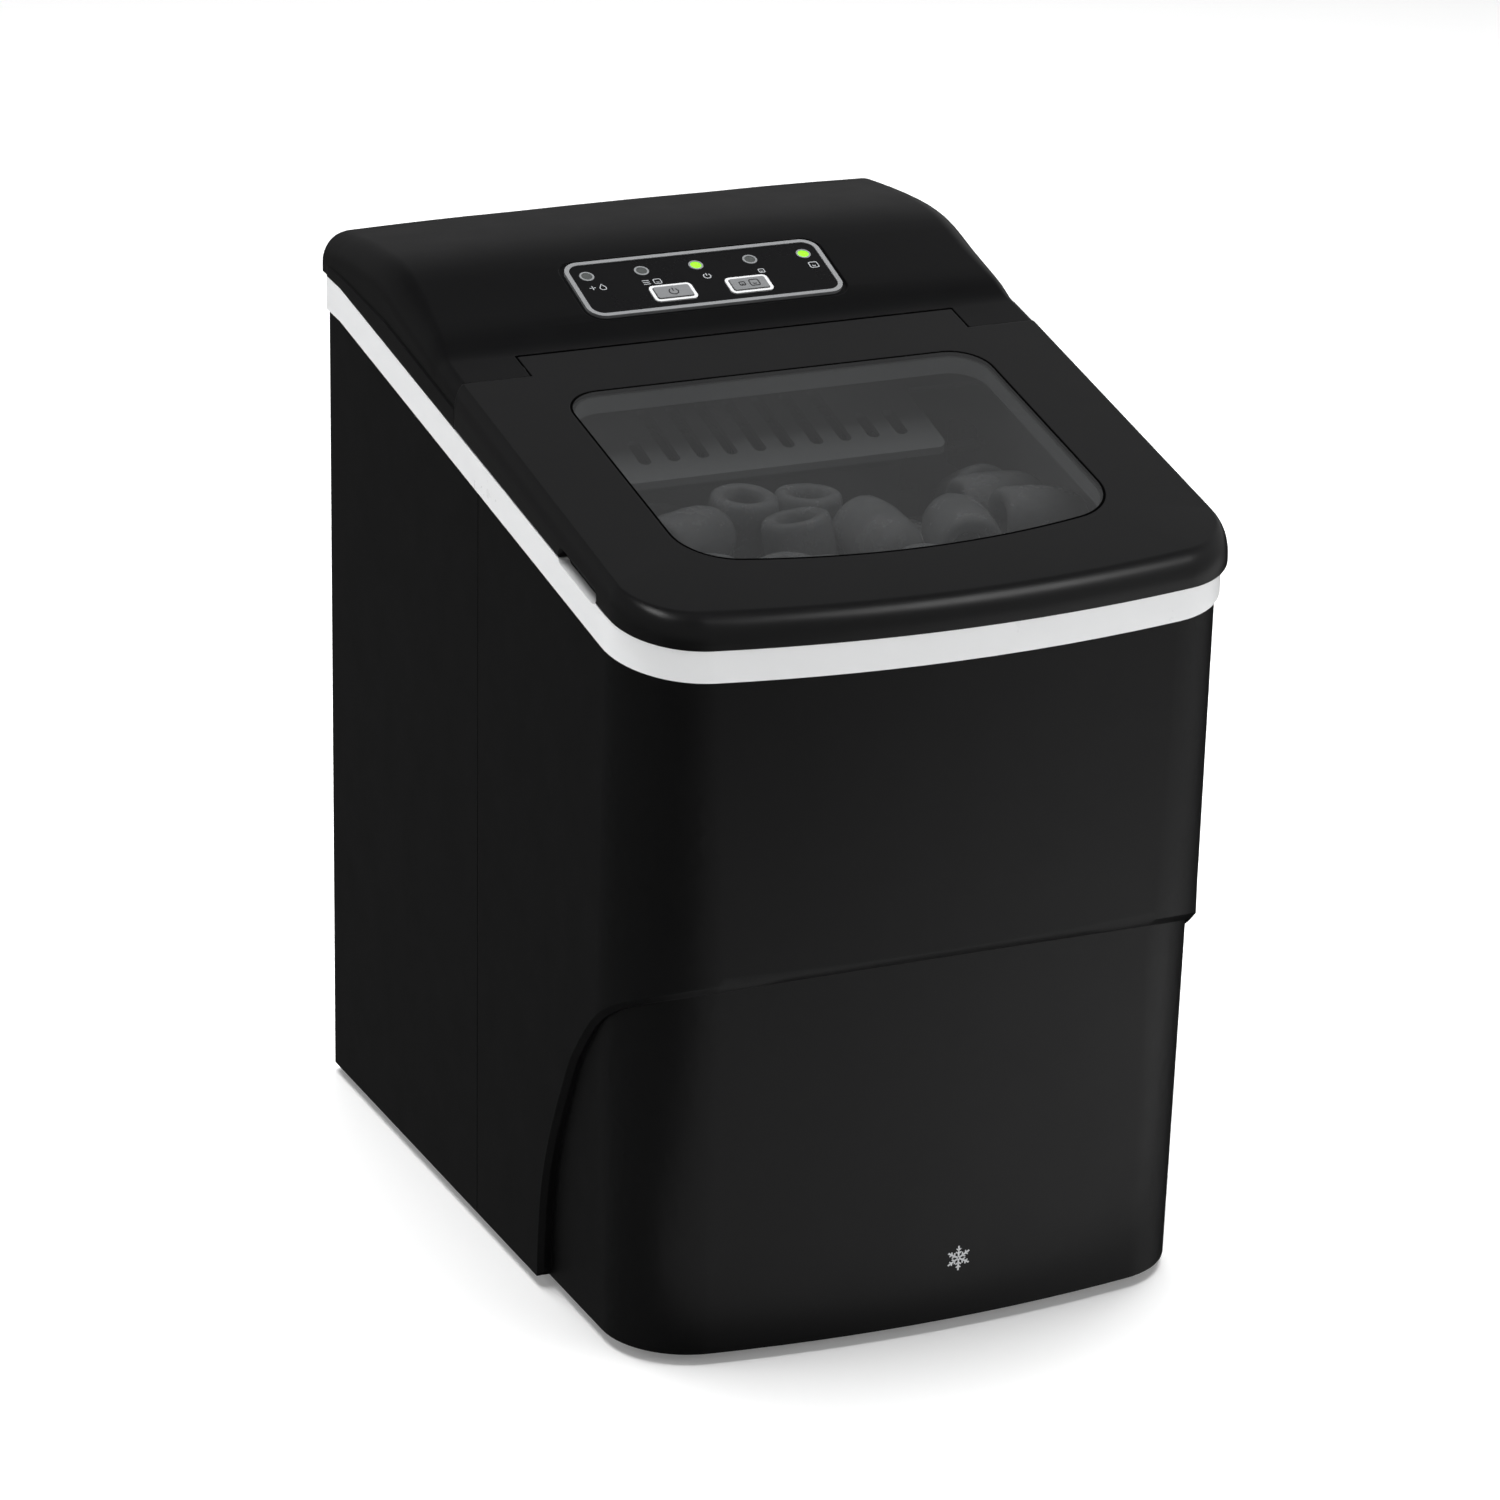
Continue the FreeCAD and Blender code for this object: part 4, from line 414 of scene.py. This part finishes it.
ICE_PROFILE = [  # radius, height of a bullet with its finger hole, open end up, millimetres
    (0.0, -17.0), (3.4, -16.8), (6.6, -15.7), (9.2, -13.6), (11.2, -10.4), (12.3, -6.4), (12.75, -1.5), (12.9, 4.0),
    (12.9, 10.0), (12.7, 14.2), (12.0, 16.2), (10.6, 17.0), (8.6, 16.9), (6.9, 16.0), (5.9, 14.0), (5.5, 9.0), (5.2, 2.0),
    (4.8, -3.0), (3.6, -6.2), (1.9, -7.6), (0.0, -8.0)]


def ice_piece(i, pos, axis):
    bm = bmesh.new()
    seg = 28
    rings = []
    for r, h in ICE_PROFILE:
        if r == 0:
            rings.append([bm.verts.new((0, 0, h))])
        else:
            rings.append([bm.verts.new((r * math.cos(2 * math.pi * k / seg), r * math.sin(2 * math.pi * k / seg), h)) for k in range(seg)])
    for a, b in zip(rings, rings[1:]):
        for k in range(seg):
            k2 = (k + 1) % seg
            if len(a) == 1:
                bm.faces.new((a[0], b[k2], b[k]))
            elif len(b) == 1:
                bm.faces.new((a[k], a[k2], b[0]))
            else:
                bm.faces.new((a[k], a[k2], b[k2], b[k]))
    off = Vector((i * 3.17, i * 1.31, i * 0.77))
    for v in bm.verts:
        c = v.co.copy()
        w = noise.noise(c * 0.11 + off) * 0.75 + noise.noise(c * 0.33 + off) * 0.28
        d = Vector((c.x, c.y, 0))
        if d.length > 0.1:
            d.normalize()
            v.co -= d * (0.35 + 0.9 * abs(w))if c.z > -17 and Vector((c.x, c.y, 0)).length > 7 else d * (-0.6 * w)
        v.co.z += -0.5 * w if c.z > 14 else 0.0
    q = Vector((0, 0, 1)).rotation_difference(Vector(axis).normalized())
    mat = Matrix.Translation(Vector(pos)) @ q.to_matrix().to_4x4()
    mat = Matrix.Scale(MM, 4) @ mat
    bmesh.ops.transform(bm, matrix=mat, verts=bm.verts)
    bmesh.ops.recalc_face_normals(bm, faces=bm.faces)
    o = new_obj(f"ice_bullet_{i:02d}", bm, M["ice"], "basket")
    return o


for i, (x, y, z, ax, ay, az) in enumerate(ICE):
    ice_piece(i, (x, y, z), (ax, ay, az))

# ------------------------------------------------------------------ panel symbols
PT = math.atan(0.35)
PV, PN = Vector((0, math.cos(PT), math.sin(PT))), Vector((0, -math.sin(PT), math.cos(PT)))
PO = Vector((0, 64.4, 322.3))


def pp(u, v, n):
    return (PO + Vector((u, 0, 0)) + PV * v + PN * n) * MM


def strip_mesh(bm, pts, w, n0, n1, to3d, closed=False):
    """A raised line of width w along 2-D points, mitred, as a closed ribbon."""
    P = [Vector(p) for p in pts]
    N = len(P)
    left, right = [], []
    for k in range(N):
        if closed:
            a, b = P[k - 1], P[(k + 1) % N]
        else:
            a, b = P[max(k - 1, 0)], P[min(k + 1, N - 1)]
        d0 = (P[k] - a).normalized() if (P[k] - a).length > 1e-9 else (b - P[k]).normalized()
        d1 = (b - P[k]).normalized() if (b - P[k]).length > 1e-9 else d0
        n0_, n1_ = Vector((-d0.y, d0.x)), Vector((-d1.y, d1.x))
        m = (n0_ + n1_)
        m = m.normalized() if m.length > 1e-6 else n0_
        s = w / 2 / max(0.45, m.dot(n0_))
        left.append(P[k] + m * s)
        right.append(P[k] - m * s)
    rows = []
    for k in range(N):
        rows.append([bm.verts.new(to3d(left[k].x, left[k].y, n0)), bm.verts.new(to3d(left[k].x, left[k].y, n1)),
                     bm.verts.new(to3d(right[k].x, right[k].y, n1)), bm.verts.new(to3d(right[k].x, right[k].y, n0))])
    rng = range(N) if closed else range(N - 1)
    for k in rng:
        a, b = rows[k], rows[(k + 1) % N]
        for j in range(4):
            j2 = (j + 1) % 4
            bm.faces.new((a[j], b[j], b[j2], a[j2]))
    if not closed:
        bm.faces.new(rows[0])
        bm.faces.new(list(reversed(rows[-1])))


def rrect(cu, cv, hx, hv, r, seg=4):
    out = []
    for sx, sy, a0 in ((1, 1, 0), (-1, 1, 90), (-1, -1, 180), (1, -1, 270)):
        for k in range(seg + 1):
            a = math.radians(a0 + 90 * k / seg)
            out.append((cu + sx * (hx - r) + r * math.cos(a), cv + sy * (hv - r) + r * math.sin(a)))
    return out


def arc(cu, cv, r, a0, a1, seg=16):
    return [(cu + r * math.cos(math.radians(a0 + (a1 - a0) * k / seg)), cv + r * math.sin(math.radians(a0 + (a1 - a0) * k / seg))) for k in range(seg + 1)]


def symbol(name, lines, w, n0, n1, mat, body):
    bm = bmesh.new()
    for pts, closed in lines:
        strip_mesh(bm, pts, w, n0, n1, pp, closed)
    bmesh.ops.recalc_face_normals(bm, faces=bm.faces)
    return new_obj(name, bm, mat, body, smooth=False)


def power(cu, cv, r):
    return [(arc(cu, cv, r, 125, 415, 20), False), ([(cu, cv + r * 0.15), (cu, cv + r * 1.25)], False)]


def drop(cu, cv, r):
    pts = [(cu, cv + r * 1.9)] + arc(cu, cv, r, 20, -200, 16)
    return [(pts, True)]


def cube(cu, cv, h):
    return [(rrect(cu, cv, h, h, h * 0.35), True), (arc(cu, cv, h * 0.42, 200, 330, 6), False)]


sv = 0.9
N0, N1 = 0.005, 0.07
symbol("symbol_add_water", [([(-43.6, sv), (-41.2, sv)], False), ([(-42.4, sv - 1.2), (-42.4, sv + 1.2)], False)] + drop(-38.6, sv - 0.5, 1.15),
       0.32, N0, N1, M["mark_dim"], "cabinet")
symbol("symbol_basket_full", [([(-23.2, sv - 1.1), (-20.6, sv - 1.1)], False), ([(-23.2, sv), (-20.6, sv)], False), ([(-23.2, sv + 1.1), (-20.6, sv + 1.1)], False)]
       + cube(-17.6, sv, 1.35), 0.32, N0, N1, M["mark_dim"], "cabinet")
symbol("symbol_power", power(1.6, sv, 1.35), 0.36, N0, N1, M["mark_dim"], "cabinet")
symbol("symbol_small", cube(22.6, sv - 0.3, 1.05), 0.32, N0, N1, M["mark_dim"], "cabinet")
symbol("symbol_large", cube(43.2, sv, 1.6), 0.34, N0, N1, M["mark_dim"], "cabinet")
symbol("key_symbol_power", power(-14.65, -7.1, 1.7), 0.42, 0.905, 0.98, M["key_mark"], "power_key")
symbol("key_symbol_size", cube(11.9, -6.9, 1.0) + cube(16.6, -6.9, 1.75), 0.40, 0.905, 0.98, M["key_mark"], "size_key")

# ------------------------------------------------------------------ plain snowflake emblem on the lower front
fh = nodes["front_housing"].data
FRONT = BVHTree.FromPolygons([v.co.copy() for v in fh.vertices], [tuple(p.vertices) for p in fh.polygons])


def front_hit(x, z):
    loc, nrm, _, _ = FRONT.ray_cast(Vector((x, -0.4, z)), Vector((0, 1, 0)))
    if nrm.y > 0:
        nrm = -nrm
    return loc, nrm


EM = (0.0105, 0.0270)
EL, EN = front_hit(*EM)
EU = Vector((0, 0, 1)).cross(-EN).normalized() * -1
if EU.x < 0:
    EU = -EU
EV = EN.cross(EU)
if EV.z < 0:
    EV = -EV


def emblem_point(u, v, n):
    x, z = EL.x + u * MM * EU.x, EL.z + v * MM
    l, nn = front_hit(x, z)
    return l + nn * n * MM


bm = bmesh.new()
for k in range(6):
    a0 = math.radians(60 * k + 30)
    dx, dy = math.cos(a0), math.sin(a0)
    strip_mesh(bm, [(dx * (0.25 + 0.55 * j), dy * (0.25 + 0.55 * j)) for j in range(9)], 0.62, -0.05, 0.10, emblem_point)
    for r0, ln in ((1.7, 1.25), (3.0, 1.05)):
        for s_ in (1, -1):
            a1 = a0 + s_ * math.radians(58)
            strip_mesh(bm, [(dx * r0 + math.cos(a1) * ln * t / 3, dy * r0 + math.sin(a1) * ln * t / 3) for t in range(4)], 0.48, -0.05, 0.09, emblem_point)
bmesh.ops.recalc_face_normals(bm, faces=bm.faces)
new_obj("emblem_snowflake", bm, M["mark"], "cabinet", smooth=False)

# ------------------------------------------------------------------ stage, camera, light
bm = bmesh.new()
R, seg = 9.0, 64
c = bm.verts.new((0, 0, -0.0002))
ring = [bm.verts.new((R * math.cos(2 * math.pi * k / seg), R * math.sin(2 * math.pi * k / seg), -0.0002)) for k in range(seg)]
for k in range(seg):
    bm.faces.new((c, ring[k], ring[(k + 1) % seg]))
me = bpy.data.meshes.new("studio_floor")
bm.to_mesh(me)
bm.free()
floor = bpy.data.objects.new("studio_floor", me)
scene.collection.objects.link(floor)
fm, nt, p = tree("studio_floor")
p.inputs["Base Color"].default_value = (0.93, 0.93, 0.93, 1)
p.inputs["Roughness"].default_value = 0.9
p.inputs["Specular IOR Level"].default_value = 0.0
p.inputs["Emission Color"].default_value = (1, 1, 1, 1)
p.inputs["Emission Strength"].default_value = 0.14
me.materials.append(fm)

floor.visible_glossy = False

w = bpy.data.worlds.new("studio")
scene.world = w
w.use_nodes = True
wn = w.node_tree
bg = wn.nodes["Background"]
tcw = wn.nodes.new("ShaderNodeTexCoord")
sep = wn.nodes.new("ShaderNodeSeparateXYZ")
wn.links.new(tcw.outputs["Generated"], sep.inputs[0])


def curve(src, pts, lo=-1.0, hi=1.0):
    """A smooth table of grey levels over a value between lo and hi."""
    mr = wn.nodes.new("ShaderNodeMapRange")
    mr.inputs["From Min"].default_value = lo
    mr.inputs["From Max"].default_value = hi
    wn.links.new(src, mr.inputs["Value"])
    r = wn.nodes.new("ShaderNodeValToRGB")
    while len(r.color_ramp.elements) > 1:
        r.color_ramp.elements.remove(r.color_ramp.elements[-1])
    for k, (x, v) in enumerate(pts):
        e_ = r.color_ramp.elements[0] if k == 0 else r.color_ramp.elements.new((x - lo) / (hi - lo))
        e_.position = (x - lo) / (hi - lo)
        e_.color = (v, v, v, 1)
    wn.links.new(mr.outputs[0], r.inputs[0])
    return r.outputs[0]


# bright backdrop near the horizon, a darker ceiling; the lower half is a dim table, lighter towards the front right
upper = curve(sep.outputs["Z"], [(-0.02, 0.0), (0.02, 0.38), (0.34, 0.34), (0.52, 0.36), (0.70, 0.25), (0.82, 0.04), (1.0, 0.02)])
dotp = wn.nodes.new("ShaderNodeVectorMath")
dotp.operation = "DOT_PRODUCT"
dotp.inputs[1].default_value = (0.866, -0.5, 0.0)
wn.links.new(tcw.outputs["Generated"], dotp.inputs[0])
side = curve(dotp.outputs["Value"], [(-1.0, 0.10), (-0.6, 0.08), (-0.2, 0.0), (0.45, 0.0), (0.7, 0.19), (0.85, 0.56), (1.0, 0.8)])
below = curve(sep.outputs["Z"], [(-1.0, 1.0), (-0.03, 1.0), (0.02, 0.0), (1.0, 0.0)])
mul = wn.nodes.new("ShaderNodeVectorMath")
mul.operation = "MULTIPLY"
wn.links.new(side, mul.inputs[0])
wn.links.new(below, mul.inputs[1])
fade = curve(sep.outputs["X"], [(-1.0, 0.42), (0.30, 0.45), (0.40, 0.50), (0.58, 0.90), (1.0, 0.90)])
upf = wn.nodes.new("ShaderNodeVectorMath")
upf.operation = "MULTIPLY"
wn.links.new(upper, upf.inputs[0])
wn.links.new(fade, upf.inputs[1])
add = wn.nodes.new("ShaderNodeVectorMath")
add.operation = "ADD"
wn.links.new(upf.outputs[0], add.inputs[0])
wn.links.new(mul.outputs[0], add.inputs[1])
wn.links.new(add.outputs[0], bg.inputs[0])
bg.inputs[1].default_value = 1.0


def area(name, loc, target, sx, sy, power_w, diffuse=True, glossy=False):
    l = bpy.data.lights.new(name, "AREA")
    l.shape = "RECTANGLE"
    l.size, l.size_y = sx, sy
    l.energy = power_w
    o = bpy.data.objects.new(name, l)
    scene.collection.objects.link(o)
    o.location = loc
    d = Vector(target) - Vector(loc)
    o.rotation_mode = "QUATERNION"
    o.rotation_quaternion = d.to_track_quat("-Z", "Y")
    o.visible_diffuse = diffuse
    o.visible_glossy = glossy
    return o


area("key_top", (0.1, 0.3, 2.0), (0, 0, 0.2), 2.2, 1.8, 86)
area("fill_left", (-2.0, 0.4, 1.0), (0, 0, 0.15), 1.4, 1.2, 11)
area("fill_front_right", (1.2, -1.8, 0.9), (0, 0, 0.15), 1.2, 1.0, 11)
area("edge_glint", (-0.62, -0.30, 1.45), (0, -0.1, 0.27), 0.34, 0.34, 2.6, diffuse=False, glossy=True)
area("ledge_glint", (0.85, -0.95, 1.75), (0, -0.15, 0.15), 0.7, 0.5, 4.5, diffuse=False, glossy=True)
area("table_gleam", (0.12, -0.39, 0.003), (0.12, -0.39, 1.0), 0.6, 0.46, 0.55, diffuse=False, glossy=True)

cam = bpy.data.cameras.new("camera")
cam.sensor_width = 36.0
cam.lens = 145.53
cam.dof.use_dof = False
co = bpy.data.objects.new("camera", cam)
scene.collection.objects.link(co)
a, e, roll = math.radians(-24.368), math.radians(20.5), math.radians(1.039)
back = Vector((math.sin(a) * math.cos(e), -math.cos(a) * math.cos(e), math.sin(e)))
right = Vector((math.cos(a), math.sin(a), 0))
up = back.cross(right)
r2 = math.cos(roll) * right + math.sin(roll) * up
u2 = -math.sin(roll) * right + math.cos(roll) * up
mw = Matrix((r2, u2, back)).transposed().to_4x4()
mw.translation = Vector((-0.83822, -1.83311, 0.91932))
co.matrix_world = mw
scene.camera = co
scene.view_settings.view_transform = "Standard"
scene.view_settings.look = "None"
